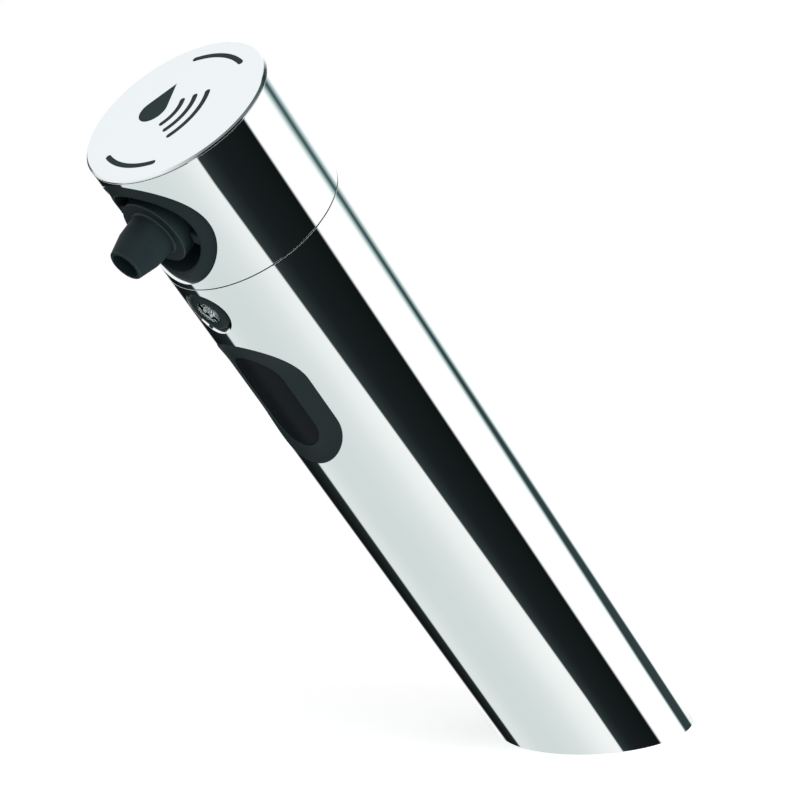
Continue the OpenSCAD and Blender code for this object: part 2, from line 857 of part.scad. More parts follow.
module sensor_bezel() {
    back = tube_r - sensor_depth;
    color("DimGray") leaned() difference() {
        union() {
            intersection() {
                on_front(sensor_z) slot(sensor_w, sensor_l, back, tube_d);
                rod(tube_r, sensor_z - sensor_l, sensor_z + sensor_l);
            }
            intersection() {
                on_front(sensor_z) slot(sensor_w + 2 * sensor_lip, sensor_l + 2 * sensor_lip, back, tube_d);
                rod(fit_r, sensor_z - sensor_l, sensor_z + sensor_l);
            }
        }
        on_front(sensor_z) {
            slot(window_w, window_l, 0, tube_d);
            slot(window_w + 2 * window_lip, window_l + 2 * window_lip, 0, window_k);
        }
    }
}

module sensor_window() {
    grow = 2 * (window_lip - slip);
    color("Black") leaned() {
        on_front(sensor_z) slot(window_w + grow, window_l + grow, window_k - window_t, window_k);
        intersection() {
            on_front(sensor_z) slot(window_w - 2 * slip, window_l - 2 * slip, window_k - window_t, tube_r);
            rod(tube_r - window_sink, sensor_z - window_l, sensor_z + window_l);
        }
    }
}

module ir_baffle() {
    grow = 2 * (window_lip - slip);
    color("Black") leaned() on_front(sensor_z) difference() {
        slot(window_w + grow, window_l + grow, board_k, window_k - window_t);
        for (s = [-1, 1]) translate([0, s * ir_pitch / 2, 0]) rod(ir_d / 2 + slip, 0, tube_r);
    }
}

module ir_emitter() {
    color("LightBlue") leaned() on_front(sensor_z + ir_pitch / 2) bulb(ir_d, ir_len);
}

module ir_receiver() {
    color("Black") leaned() on_front(sensor_z - ir_pitch / 2) bulb(ir_d, ir_len);
}

module sensor_board() {
    z0 = sensor_z - board_drop;
    color("DarkGreen") leaned() translate([-board_half, -board_k, z0])
        cube([2 * board_half, board_t, cheek_top - slip - z0]);
}

module sensor_ribbon() {
    y0 = -board_k + board_t;
    color("Tan") leaned() translate([-ribbon_w / 2, y0, sensor_z + ir_pitch / 2])
        cube([ribbon_w, control_y - y0, ribbon_t]);
}

// Control board

module control_board() {
    color("DarkGreen") leaned() translate([-board_half, control_y, cheek_z])
        cube([2 * board_half, board_t, cheek_top - slip - cheek_z]);
}

module board_chips() {
    x = -cheek_in + over;
    face = control_y + board_t;
    color("Black") leaned() {
        translate([x, face, sensor_z]) cube([chip_w, chip_t, chip_w]);
        translate([x, face, sensor_z - 2 * driver_h]) cube([driver_w, driver_t, driver_h]);
    }
}

module board_capacitor() {
    color("SlateGray") leaned() translate([-cheek_in / 2, control_y, sensor_z - board_drop / 2])
        rotate([90, 0, 0]) cylinder(d = cap_d, h = cap_len);
}

module power_connector() {
    half = lead_d / 2 + over;
    face = control_y + board_t;
    color("White") leaned() difference() {
        translate([lead_x - half, face, terminal_z]) cube([2 * half, lead_y + half - face, 3 * lead_d]);
        at_lead() rod(lead_d / 2 + run, 0, terminal_z + lead_d);
    }
}

module motor_terminal() {
    depth = wire_d + 2 * over;
    wide = lead_pitch + depth;
    color("Green") leaned() difference() {
        translate([-gear_r - wide / 2, control_y - depth - over / 2, terminal_z])
            cube([wide, depth + over / 2, 3 * lead_d]);
        at_motor_leads() rod(wire_d / 2 + run, 0, terminal_z + lead_d);
    }
}

module motor_leads() {
    color("Red") leaned() at_motor_leads() rod(wire_d / 2, motor_top, terminal_z + lead_d);
}

module power_lead() {
    color("Black") leaned() at_lead() rod(lead_d / 2, socket_z(lead_deck_y) + lead_d, terminal_z + lead_d);
}

// Frame

module cheek() {
    translate([cheek_in, -cheek_front, cheek_z])
        cube([cheek_t, cheek_front + cheek_back, cheek_top - cheek_z]);
}

module upper_frame() {
    color("Gray") leaned() difference() {
        union() {
            rod(frame_r, motor_z, motor_z + plate_t);
            rod(frame_r, mid_z, cheek_z);
            at_legs() rod(leg_d / 2, motor_z, cheek_z);
            cheek();
            mirror([1, 0, 0]) cheek();
        }
        at_motor() rod(motor_d / 2 + free, 0, mid_z - over);
        at_motor_leads() rod(wire_d / 2 + free, 0, tube_len);
        at_line() rod(hose_r + free, 0, tube_len);
        at_lead() rod(lead_d / 2 + free, 0, tube_len);
        at_legs() rod(screw_d / 2 + run, 0, motor_z + screw_bite + over);
        translate([-board_half - slip, -board_k - slip, sensor_z - board_drop])
            cube([2 * (board_half + slip), board_t + 2 * slip, tube_len]);
        translate([-board_half - slip, control_y - slip, cheek_z])
            cube([2 * (board_half + slip), board_t + 2 * slip, tube_len]);
        at_cradle_screws() rod(small_screw_d / 2 + run, cheek_top - small_bite - over, tube_len);
    }
}

module lower_frame() {
    color("Gray") leaned() difference() {
        union() {
            ring(frame_r, frame_r / 2, plug_h, plug_h + plate_t);
            at_legs() rod(leg_d / 2, plug_h, pump_z);
        }
        at_lead() rod(lead_d / 2 + free, 0, tube_len);
        at_legs() {
            rod(screw_d / 2 + slip, 0, tube_len);
            rod(head_d / 2 + slip, 0, plug_h + head_h + slip);
        }
        at_foot_screws() rod(screw_d / 2 + slip, 0, tube_len);
    }
}

module tie_screws() {
    color("LightGray") leaned() at_legs()
        screw(screw_d, plug_h + head_h + slip, motor_z + screw_bite, head_d, head_h);
}

module foot_screws() {
    z = plug_h + plate_t;
    color("LightGray") leaned() at_foot_screws() {
        rod(screw_d / 2, plug_h - foot_bite, z + over);
        rod(head_d / 2, z, z + head_h);
    }
}

// Gear pump

// Hollow that the two gears and their ports take up, flat
module pump_hollow() {
    for (s = [-1, 1]) translate([s * gear_r, pump_y]) circle(r = gear_tip_r + tip_gap);
    translate([-pocket_half, -inlet_y - pocket_half]) square([2 * pocket_half, inlet_y + pump_y]);
    translate([-pocket_half, pump_y + pocket_half]) square([2 * pocket_half, line_y - pump_y]);
}

module tie_holes() {
    at_legs() rod(screw_d / 2 + slip, 0, tube_len);
    at_lead() rod(lead_d / 2 + free, 0, tube_len);
}

module pump_body() {
    color("Ivory") leaned() difference() {
        union() {
            rod(frame_r, pump_z, body_top);
            at_inlet() rod(stub_r, pump_z - stub_len, pump_z + over);
        }
        translate([0, 0, pump_z + pump_floor]) linear_extrude(tube_r) pump_hollow();
        at_inlet() rod(stub_bore / 2, 0, body_top);
        at_idler() rod(pin_d / 2 + run, pump_z + pump_floor - pin_bite, body_top);
        tie_holes();
    }
}

module pump_gasket() {
    color("SaddleBrown") leaned() difference() {
        rod(frame_r, body_top, cover_z);
        linear_extrude(tube_len) pump_hollow();
        at_motor_screws() rod(small_head_d / 2 + slip, 0, tube_len);
        tie_holes();
    }
}

module pump_cover() {
    color("Ivory") leaned() difference() {
        union() {
            rod(frame_r, cover_z, motor_z);
            at_line() rod(stub_r, cover_z, motor_z + stub_len);
        }
        at_line() rod(stub_bore / 2, 0, tube_len);
        at_motor() {
            rod(shaft_d / 2 + run, 0, tube_len);
            rod(shaft_seal_d / 2 + run, motor_z - shaft_seal_h, tube_len);
        }
        at_motor_screws() {
            rod(small_screw_d / 2 + slip, 0, tube_len);
            rod(small_head_d / 2 + slip, 0, cover_z + small_head_h);
        }
        tie_holes();
    }
}

module shaft_seal() {
    color("Black") leaned() at_motor()
        ring(shaft_seal_d / 2, shaft_d / 2 + run, motor_z - shaft_seal_h, motor_z);
}

module drive_gear() {
    color("Khaki") leaned() at_motor() gear(shaft_d + 2 * run);
}

module idler_gear() {
    color("Khaki") leaned() at_idler() rotate(180 + 180 / teeth) gear(pin_d + 2 * run);
}

module idler_pin() {
    color("LightGray") leaned() at_idler() rod(pin_d / 2, pump_z + pump_floor - pin_bite, body_top);
}

// Motor

module motor_can() {
    color("LightSteelBlue") leaned() difference() {
        at_motor() difference() {
            rod(motor_d / 2, motor_z, end_cap_z);
            rod(can_r, motor_z + can_wall, motor_top);
            rod(bush_d / 2 + run, 0, motor_top);
        }
        at_motor_screws() rod(small_screw_d / 2 + run, 0, motor_z + over);
    }
}

module motor_end_cap() {
    color("DimGray") leaned() at_motor() difference() {
        rod(motor_d / 2, end_cap_z, motor_top);
        rod(bush_d / 2 + run, 0, motor_top + over);
    }
}

module motor_magnets() {
    z0 = armature_z;
    z1 = armature_z + armature_len;
    color("DarkSlateGray") leaned() at_motor() difference() {
        ring(can_r - run, can_r - magnet_t, z0, z1);
        translate([-tube_r, -magnet_gap / 2, z0 - over]) cube([tube_d, magnet_gap, z1 - z0 + 2 * over]);
    }
}

module motor_armature() {
    r = armature_d / 2;
    color("Peru") leaned() at_motor() difference() {
        ring(r, shaft_d / 2 + run, armature_z, armature_z + armature_len);
        for (i = [0 : armature_slots - 1]) rotate(i * 360 / armature_slots)
            translate([r / 2, -over, armature_z - over]) cube([r, 2 * over, armature_len + 2 * over]);
    }
}

module motor_commutator() {
    color("Chocolate") leaned() at_motor()
        ring(commutator_d / 2, shaft_d / 2 + run, commutator_z, commutator_z + commutator_len);
}

module motor_brushes() {
    x = commutator_d / 2 + slip;
    z = commutator_z + over;
    color("Black") leaned() at_motor() for (a = [0, 180]) rotate(a)
        translate([x, -over, z]) cube([can_r - x - over, 2 * over, end_cap_z - z]);
}

module motor_shaft() {
    color("LightGray") leaned() at_motor() rod(shaft_d / 2, gear_z, motor_top + over);
}

module motor_bushes() {
    color("Goldenrod") leaned() at_motor() {
        ring(bush_d / 2, shaft_d / 2 + run, motor_z, motor_z + bush_len);
        ring(bush_d / 2, shaft_d / 2 + run, motor_top - bush_len, motor_top);
    }
}

module motor_screws() {
    color("LightGray") leaned() at_motor_screws()
        screw(small_screw_d, cover_z + small_head_h, motor_z + can_wall, small_head_d, small_head_h);
}

// Soap line

module delivery_tube() {
    color("WhiteSmoke") leaned() at_line()
        ring(hose_r, hose_bore / 2, motor_z + slip, nozzle_z - spout_r - slip);
}

module inlet_tube() {
    color("WhiteSmoke") leaned() at_inlet() ring(hose_r, hose_bore / 2, plug_h + slip, pump_z - slip);
}

// Base

module base_plug() {
    color("Gray") difference() {
        leaned() difference() {
            union() {
                rod(fit_r, foot_z, plug_h);
                at_inlet() rod(stub_r, 0, plug_h + stub_len);
            }
            at_inlet() rod(stub_bore / 2, socket_z(inlet_deck_y) - over, tube_len);
            at_lead() rod(lead_d / 2 + free, socket_z(lead_deck_y) - over, tube_len);
            at_foot_screws() rod(screw_d / 2 + run, plug_h - foot_bite - over, tube_len);
        }
        below_deck();
        for (s = [-1, 1]) stud_hole(s * stud_pitch / 2);
        push_socket(0, inlet_deck_y, fitting_d / 2 + run, socket_depth);
        deck_socket(lead_x, lead_deck_y, cable_d / 2, socket_depth);
        push_socket(lead_x, lead_deck_y, gland_d / 2 + run, gland_len);
        gasket_form(slip, deck_gasket_t);
    }
}

module inlet_fitting() {
    color("White") translate([0, inlet_deck_y, 0]) ring(fitting_d / 2, supply_d / 2, 0, socket_depth);
}

module cable_gland() {
    color("Black") translate([lead_x, lead_deck_y, 0]) ring(gland_d / 2, cable_d / 2, 0, gland_len);
}

// Leaning ring round the foot, cut level at the deck and at height h
module gasket_form(grow, h) {
    intersection() {
        leaned() ring(gasket_r + grow, gasket_r - deck_gasket_w - grow, foot_z, -foot_z + tube_r);
        translate([-tube_len, -tube_len, 0]) cube([2 * tube_len, 2 * tube_len, h]);
    }
}

module deck_gasket() {
    color("Black") gasket_form(0, deck_gasket_t);
}

top_cap();
head_shell();
body_tube();
seam_gasket();
head_collar();
nozzle_bezel();
nozzle();
nozzle_seal();
spout_block();
spring_retainer();
valve_spring();
valve_poppet();
valve_seal();
spout_cradle();
cradle_screws();
indicator_ring();
indicator_lens();
indicator_led();
sensor_bezel();
sensor_window();
ir_baffle();
ir_emitter();
ir_receiver();
sensor_board();
sensor_ribbon();
control_board();
board_chips();
board_capacitor();
power_connector();
motor_terminal();
motor_leads();
power_lead();
upper_frame();
lower_frame();
tie_screws();
foot_screws();
pump_body();
pump_gasket();
pump_cover();
shaft_seal();
drive_gear();
idler_gear();
idler_pin();
motor_can();
motor_end_cap();
motor_magnets();
motor_armature();
motor_commutator();
motor_brushes();
motor_shaft();
motor_bushes();
motor_screws();
delivery_tube();
inlet_tube();
base_plug();
inlet_fitting();
cable_gland();
deck_gasket();
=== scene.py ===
import json
import math

import bmesh
import bpy
from mathutils import Matrix, Vector
from mathutils.geometry import delaunay_2d_cdt


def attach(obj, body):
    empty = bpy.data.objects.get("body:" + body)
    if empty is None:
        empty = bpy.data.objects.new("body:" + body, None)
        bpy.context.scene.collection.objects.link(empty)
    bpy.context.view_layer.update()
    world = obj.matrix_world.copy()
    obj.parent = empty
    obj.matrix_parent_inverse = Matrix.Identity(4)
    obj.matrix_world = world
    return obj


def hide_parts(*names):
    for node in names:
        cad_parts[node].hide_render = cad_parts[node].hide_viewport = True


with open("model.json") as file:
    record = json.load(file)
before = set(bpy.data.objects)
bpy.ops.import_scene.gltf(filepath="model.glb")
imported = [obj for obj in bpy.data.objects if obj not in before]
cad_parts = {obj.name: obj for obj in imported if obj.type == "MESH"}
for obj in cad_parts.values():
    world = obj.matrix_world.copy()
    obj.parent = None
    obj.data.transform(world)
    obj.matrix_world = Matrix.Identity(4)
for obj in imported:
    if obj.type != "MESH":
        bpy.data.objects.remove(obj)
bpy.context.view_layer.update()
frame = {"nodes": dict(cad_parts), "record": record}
nodes = frame["nodes"]
scene = bpy.context.scene
print("frame loaded:", len(nodes), "nodes")

# sizes in mm, in the tube's own frame: z up the tube from the deck, -y to the front
tube = {
    "radius": 25.0,
    "bore": 23.0,
    "lean": 40.0,
    "seamAt": 208.0,
    "seamGap": 0.3,
    "headTop": 243.5,
    "capFace": 244.5,
    "nozzleAt": 226.3,
    "lightAt": 199.5,
    "sensorAt": 166.1,
}
leanCos = math.cos(math.radians(tube["lean"]))
leanSin = math.sin(math.radians(tube["lean"]))
leanTan = leanSin / leanCos
leanTurn = Matrix.Rotation(math.radians(tube["lean"]), 4, "X")
toRow = Matrix.Scale(0.001, 4) @ leanTurn  # tube frame in mm to the shared frame in metres


def frontAxis(at):
    # frame of a piece that looks out of the tube's front: z outwards, y up the tube
    return Matrix.Translation((0, 0, at)) @ Matrix.Rotation(math.radians(90), 4, "X")


def faceHeight(x, sink=0.0):
    return math.sqrt((tube["radius"] - sink) ** 2 - x * x)


def quarter(steps):
    return [math.radians(90) * i / steps for i in range(steps + 1)]


# camera at the photograph's viewpoint

view = {
    "place": (0.48430, -0.54246, 0.22917),
    "azimuth": 46.408,
    "elevation": 10.340,
    "roll": 0.476,
    "lens": 114.745,
    "sensor": 36.0,
}


def addCamera():
    az, el, roll = (math.radians(view[k]) for k in ("azimuth", "elevation", "roll"))
    back = Vector((math.sin(az) * math.cos(el), -math.cos(az) * math.cos(el), math.sin(el)))
    right = Vector((math.cos(az), math.sin(az), 0))
    up = back.cross(right)
    turned = right * math.cos(roll) + up * math.sin(roll)
    raised = up * math.cos(roll) - right * math.sin(roll)
    data = bpy.data.cameras.new("viewCamera")
    data.lens = view["lens"]
    data.sensor_width = view["sensor"]
    camera = bpy.data.objects.new("viewCamera", data)
    scene.collection.objects.link(camera)
    matrix = Matrix((turned, raised, back)).transposed().to_4x4()
    matrix.translation = view["place"]
    camera.matrix_world = matrix
    scene.camera = camera


addCamera()
print("camera set")


# node helpers

def node(tree, kind, **values):
    made = tree.nodes.new(kind)
    for name, value in values.items():
        setattr(made, name, value)
    return made


def feed(tree, socket, value):
    # links an output, or sets a plain number or colour
    if isinstance(value, bpy.types.NodeSocket):
        tree.links.new(value, socket)
    else:
        socket.default_value = (*value, 1) if isinstance(value, tuple) else value


def maths(tree, operation, *values):
    made = node(tree, "ShaderNodeMath", operation=operation)
    for socket, value in zip(made.inputs, values):
        feed(tree, socket, value)
    return made.outputs[0]


def blendBetween(tree, value, low, high):
    # 0 at low, 1 at high, smooth between
    made = node(tree, "ShaderNodeMapRange", interpolation_type="SMOOTHSTEP")
    tree.links.new(value, made.inputs["Value"])
    made.inputs["From Min"].default_value = low
    made.inputs["From Max"].default_value = high
    return made.outputs["Result"]


def ramp(tree, value, stops):
    made = node(tree, "ShaderNodeValToRGB")
    line = made.color_ramp
    line.elements[0].position, line.elements[1].position = stops[0][0], stops[-1][0]
    line.elements[0].color, line.elements[1].color = (*stops[0][1], 1), (*stops[-1][1], 1)
    for place, colour in stops[1:-1]:
        line.elements.new(place).color = (*colour, 1)
    tree.links.new(value, made.inputs["Fac"])
    return made.outputs["Color"]


def mixColour(tree, share, a, b):
    made = node(tree, "ShaderNodeMix", data_type="RGBA")
    for socket, value in ((made.inputs[0], share), (made.inputs[6], a), (made.inputs[7], b)):
        feed(tree, socket, value)
    return made.outputs[2]


def inTube(tree, vector):
    # a vector turned into the tube's own frame, its angle round the tube from the front, and its rise
    turned = node(tree, "ShaderNodeVectorRotate", rotation_type="X_AXIS")
    turned.inputs["Angle"].default_value = -math.radians(tube["lean"])
    tree.links.new(vector, turned.inputs["Vector"])
    parts = node(tree, "ShaderNodeSeparateXYZ")
    tree.links.new(turned.outputs[0], parts.inputs[0])
    x, y, z = parts.outputs
    around = maths(tree, "DEGREES", maths(tree, "ARCTAN2", x, maths(tree, "MULTIPLY", y, -1.0)))
    return turned.outputs[0], around, z


# studio: white room, with dark screens that only polished surfaces show

studio = {
    "level": 0.66,                      # light from all round on matt surfaces
    "slant": (0.48, 0.50, -0.10),       # how much more of it comes from the right
    "white": (1.06, 1.06, 1.06),
    "overhead": (0.900, 0.942, 0.952),
    "overheadRise": (0.0, 0.3),         # how far up the tube's axis the room turns to that
    "frontEnds": (-90.0, -88.0),        # the pale half of the room fades to white here, on both sides
    "paleTint": (0.91, 1.0, 0.99),
    "paleFrom": 0.74,                   # brighter than this, the tint's red comes back at paleFade
    "paleFade": 0.29,
    "pale": (                           # angle round the tube from its front, brightness of the room there
        (-66, 0.805), (-50, 0.800), (-38, 0.758), (-26, 0.733), (-6, 0.733), (8, 0.750), (24, 0.782),
        (36, 0.840), (48, 0.900), (60, 0.950), (74, 0.965),
    ),
    "deck": (0.020, 0.027, 0.028),      # what edges that face down the tube mirror
    "deckDrop": (0.69, 0.74),           # how far down the axis, and round from the front, it fades in
    "deckAway": (100.0, 106.0),
    "headAt": -0.48,                    # rise along the tube's axis of what the head mirrors, and the foot
    "footAt": -0.68,
    "topSoft": 0.1,                     # how softly a screen ends, above and below
    "baseSoft": 0.2,
    "floorSize": 60.0,
    "floorColour": (0.86, 0.86, 0.86),
    "floorGlow": 0.47,
}

# dark screens: degrees either side of where each stands, for what the head and the foot mirror,
# how soft those edges are there, how much narrower the middle is, the rise of its top and base,
# and its brightness from side to side
screens = (
    {"facing": -78, "head": (-29.0, 26.4), "foot": (-18.0, 15.4), "soft": ((7.0, 7.0), (2.2, 2.2)),
     "top": 0.1, "tint": (0.72, 1.0, 1.03),
     "tones": ((0.0, 0.0070), (0.45, 0.0085), (0.8, 0.0170), (1.0, 0.0260))},
    {"facing": 95, "head": (-43.7, 26.0), "foot": (-25.8, 26.0), "soft": ((1.2, 1.2), (2.0, 2.0)),
     "top": 0.6, "tint": (0.70, 1.0, 1.03),
     "tones": ((0.0, 0.0430), (0.07, 0.0340), (0.15, 0.0235), (0.26, 0.0155), (0.42, 0.0125), (0.7, 0.0100),
               (1.0, 0.0065))},
    {"facing": 183, "head": (-9.8, 5.4), "foot": (-12.2, 14.4), "soft": ((8.5, 3.4), (9.5, 3.4)),
     "waist": (3.2, -2.2), "top": 0.5, "tint": (0.68, 1.0, 1.05), "edge": (0.64, 1.06, 1.06),
     "tones": ((0.0, 0.046), (1.0, 0.052))},
    {"facing": -122, "head": (-13.0, 13.0), "foot": (-13.0, 13.0), "soft": ((4.0, 4.0), (1.5, 1.5)),
     "top": 0.44, "base": 0.1, "tint": (0.70, 1.0, 1.03),
     "tones": ((0.0, 0.040), (0.5, 0.014), (1.0, 0.010))},
)

lamps = (                               # name, place, what it faces, size and power
    ("softKey", (0.95, -0.20, 0.40), (0, -0.10, 0.12), 1.2, 4.0),
    ("lowFill", (0.42, 0.16, 0.05), (0, -0.17, 0.15), 0.25, 1.6),
)


def addScreen(tree, around, rise, reach, room, screen):
    # lays one dark screen over the room; reach is 0 where the head mirrors and 1 where the foot does
    angle = maths(tree, "WRAP", maths(tree, "SUBTRACT", around, screen["facing"]), 180.0, -180.0)

    def along(head, foot, waist=0.0):
        # a straight change from head to foot, and a bow that is waist high at the middle
        bow = 4 * waist
        slope = maths(tree, "MULTIPLY_ADD", reach, -bow, foot - head + bow)
        return maths(tree, "MULTIPLY_ADD", reach, slope, head)

    waist = screen.get("waist", (0.0, 0.0))
    low, high = (along(*ends) for ends in zip(screen["head"], screen["foot"], waist))
    top, base = screen["top"], screen.get("base")
    inside = blendBetween(tree, maths(tree, "MULTIPLY", rise, -1.0), -top, studio["topSoft"] - top)
    if base is not None:
        inside = maths(tree, "MULTIPLY", inside, blendBetween(tree, rise, base - studio["baseSoft"], base))
    gaps = maths(tree, "SUBTRACT", angle, low), maths(tree, "SUBTRACT", high, angle)
    for gap, soft in zip(gaps, screen["soft"]):
        inside = maths(tree, "MULTIPLY", inside,
                       blendBetween(tree, maths(tree, "DIVIDE", gap, along(*soft)), -1.0, 1.0))
    across = maths(tree, "DIVIDE", gaps[0], maths(tree, "SUBTRACT", high, low))
    tone = ramp(tree, across, [(at, tuple(v * t for t in screen["tint"])) for at, v in screen["tones"]])
    if "edge" in screen:  # a soft edge takes a tint of its own
        room = mixColour(tree, inside, room, screen["edge"])
    return mixColour(tree, inside, room, tone)


def addWorld():
    world = bpy.data.worlds.new("studioRoom")
    scene.world = world
    world.use_nodes = True
    tree = world.node_tree
    tree.nodes.clear()
    direction = node(tree, "ShaderNodeTexCoord").outputs["Generated"]
    _, around, z = inTube(tree, direction)
    away = maths(tree, "MULTIPLY", around, -1.0)
    reach = node(tree, "ShaderNodeMapRange")
    tree.links.new(z, reach.inputs["Value"])
    reach.inputs["From Min"].default_value = studio["headAt"]
    reach.inputs["From Max"].default_value = studio["footAt"]
    share = maths(tree, "DIVIDE", maths(tree, "ADD", around, 180.0), 360.0)
    red, green, blue = studio["paleTint"]
    stops = []
    for angle, v in studio["pale"]:
        faded = red + studio["paleFade"] * (v - studio["paleFrom"])
        stops.append(((angle + 180) / 360, (v * faded, v * green, v * blue)))
    pale = ramp(tree, share, stops)
    front = maths(tree, "MULTIPLY", blendBetween(tree, around, *studio["frontEnds"]),
                  blendBetween(tree, away, *studio["frontEnds"]))
    room = mixColour(tree, front, studio["white"], pale)
    room = mixColour(tree, blendBetween(tree, z, *studio["overheadRise"]), room, studio["overhead"])
    for screen in screens:
        room = addScreen(tree, around, z, reach.outputs[0], room, screen)
    low = maths(tree, "MULTIPLY", blendBetween(tree, maths(tree, "MULTIPLY", z, -1.0), *studio["deckDrop"]),
                blendBetween(tree, away, *studio["deckAway"]))
    room = mixColour(tree, low, room, studio["deck"])
    path = node(tree, "ShaderNodeLightPath")
    side = node(tree, "ShaderNodeVectorMath", operation="DOT_PRODUCT")
    side.inputs[1].default_value = studio["slant"]
    tree.links.new(direction, side.inputs[0])
    soft = maths(tree, "MULTIPLY_ADD", side.outputs["Value"], studio["level"], studio["level"])
    mirrored = mixColour(tree, path.outputs["Is Glossy Ray"], soft, room)
    seen = maths(tree, "MAXIMUM", path.outputs["Is Camera Ray"], path.outputs["Is Transmission Ray"])
    back = node(tree, "ShaderNodeBackground")
    tree.links.new(mixColour(tree, seen, mirrored, (1.0, 1.0, 1.0)), back.inputs["Color"])
    out = node(tree, "ShaderNodeOutputWorld")
    tree.links.new(back.outputs[0], out.inputs["Surface"])


def addFloor():
    half = studio["floorSize"] / 2
    mesh = bpy.data.meshes.new("paleFloor")
    corners = [(-half, -half, 0), (half, -half, 0), (half, half, 0), (-half, half, 0)]
    mesh.from_pydata(corners, [], [(0, 1, 2, 3)])
    floor = bpy.data.objects.new("paleFloor", mesh)
    scene.collection.objects.link(floor)
    paper = bpy.data.materials.new("palePaper")
    paper.use_nodes = True
    tree = paper.node_tree
    tree.nodes.clear()
    matt = node(tree, "ShaderNodeBsdfDiffuse")
    matt.inputs["Color"].default_value = (*studio["floorColour"], 1)
    glow = node(tree, "ShaderNodeEmission")  # lifts the paper to white for the camera, shadow kept
    path = node(tree, "ShaderNodeLightPath")
    lift = maths(tree, "MULTIPLY", path.outputs["Is Camera Ray"], studio["floorGlow"])
    tree.links.new(lift, glow.inputs["Strength"])
    both = node(tree, "ShaderNodeAddShader")
    tree.links.new(matt.outputs[0], both.inputs[0])
    tree.links.new(glow.outputs[0], both.inputs[1])
    out = node(tree, "ShaderNodeOutputMaterial")
    tree.links.new(both.outputs[0], out.inputs["Surface"])
    mesh.materials.append(paper)
    floor.visible_glossy = False


def addLamp(name, place, aim, size, power):
    data = bpy.data.lights.new(name, "AREA")
    data.shape = "DISK"
    data.size = size
    data.energy = power
    lamp = bpy.data.objects.new(name, data)
    scene.collection.objects.link(lamp)
    lamp.location = place
    lamp.rotation_euler = (Vector(aim) - Vector(place)).to_track_quat("-Z", "Y").to_euler()
    lamp.visible_glossy = False
    lamp.visible_camera = False


addWorld()
addFloor()
for lamp in lamps:
    addLamp(*lamp)
scene.view_settings.view_transform = "Standard"
print("studio lit")


# shared shader effects

mouldGrain = {
    "scale": 2600.0, "detail": 2.0, "pits": 0.6, "height": 0.0001,
    "driftScale": 55.0, "driftDetail": 4.0, "drift": 0.7,
}
handlingFilm = {"scale": 40.0, "detail": 5.0, "clear": 0.42, "full": 0.72}


def startGroup(name, scale, *outputs):
    group = bpy.data.node_groups.new(name, "ShaderNodeTree")
    group.interface.new_socket("Vector", in_out="INPUT", socket_type="NodeSocketVector")
    group.interface.new_socket("Scale", in_out="INPUT", socket_type="NodeSocketFloat").default_value = scale
    for label in outputs:
        group.interface.new_socket(label, in_out="OUTPUT", socket_type="NodeSocketFloat")
    given, result = node(group, "NodeGroupInput"), node(group, "NodeGroupOutput")
    return group, given.outputs["Vector"], given.outputs["Scale"], result.inputs


def noise(tree, vector, scale, detail):
    made = node(tree, "ShaderNodeTexNoise")
    made.inputs["Detail"].default_value = detail
    tree.links.new(vector, made.inputs["Vector"])
    feed(tree, made.inputs["Scale"], scale)
    return made.outputs["Fac"]


def makeGrain():
    # fine spark-eroded mould grain, with a slow drift of tone
    s = mouldGrain
    group, vector, scale, result = startGroup("mouldGrain", s["scale"], "Height", "Tone")
    fine = noise(group, vector, scale, s["detail"])
    cells = node(group, "ShaderNodeTexVoronoi")
    group.links.new(vector, cells.inputs["Vector"])
    group.links.new(scale, cells.inputs["Scale"])
    pits = maths(group, "MULTIPLY", cells.outputs["Distance"], s["pits"])
    group.links.new(maths(group, "ADD", fine, pits), result["Height"])
    slow = noise(group, vector, s["driftScale"], s["driftDetail"])
    group.links.new(maths(group, "ADD", maths(group, "MULTIPLY", slow, s["drift"]),
                          maths(group, "MULTIPLY", fine, 1 - s["drift"])), result["Tone"])
    return group


def makeHandling():
    # faint clouds of finger film on polished surfaces
    s = handlingFilm
    group, vector, scale, result = startGroup("handlingFilm", s["scale"], "Film")
    cloud = noise(group, vector, scale, s["detail"])
    group.links.new(blendBetween(group, cloud, s["clear"], s["full"]), result["Film"])
    return group


grainGroup, filmGroup = makeGrain(), makeHandling()

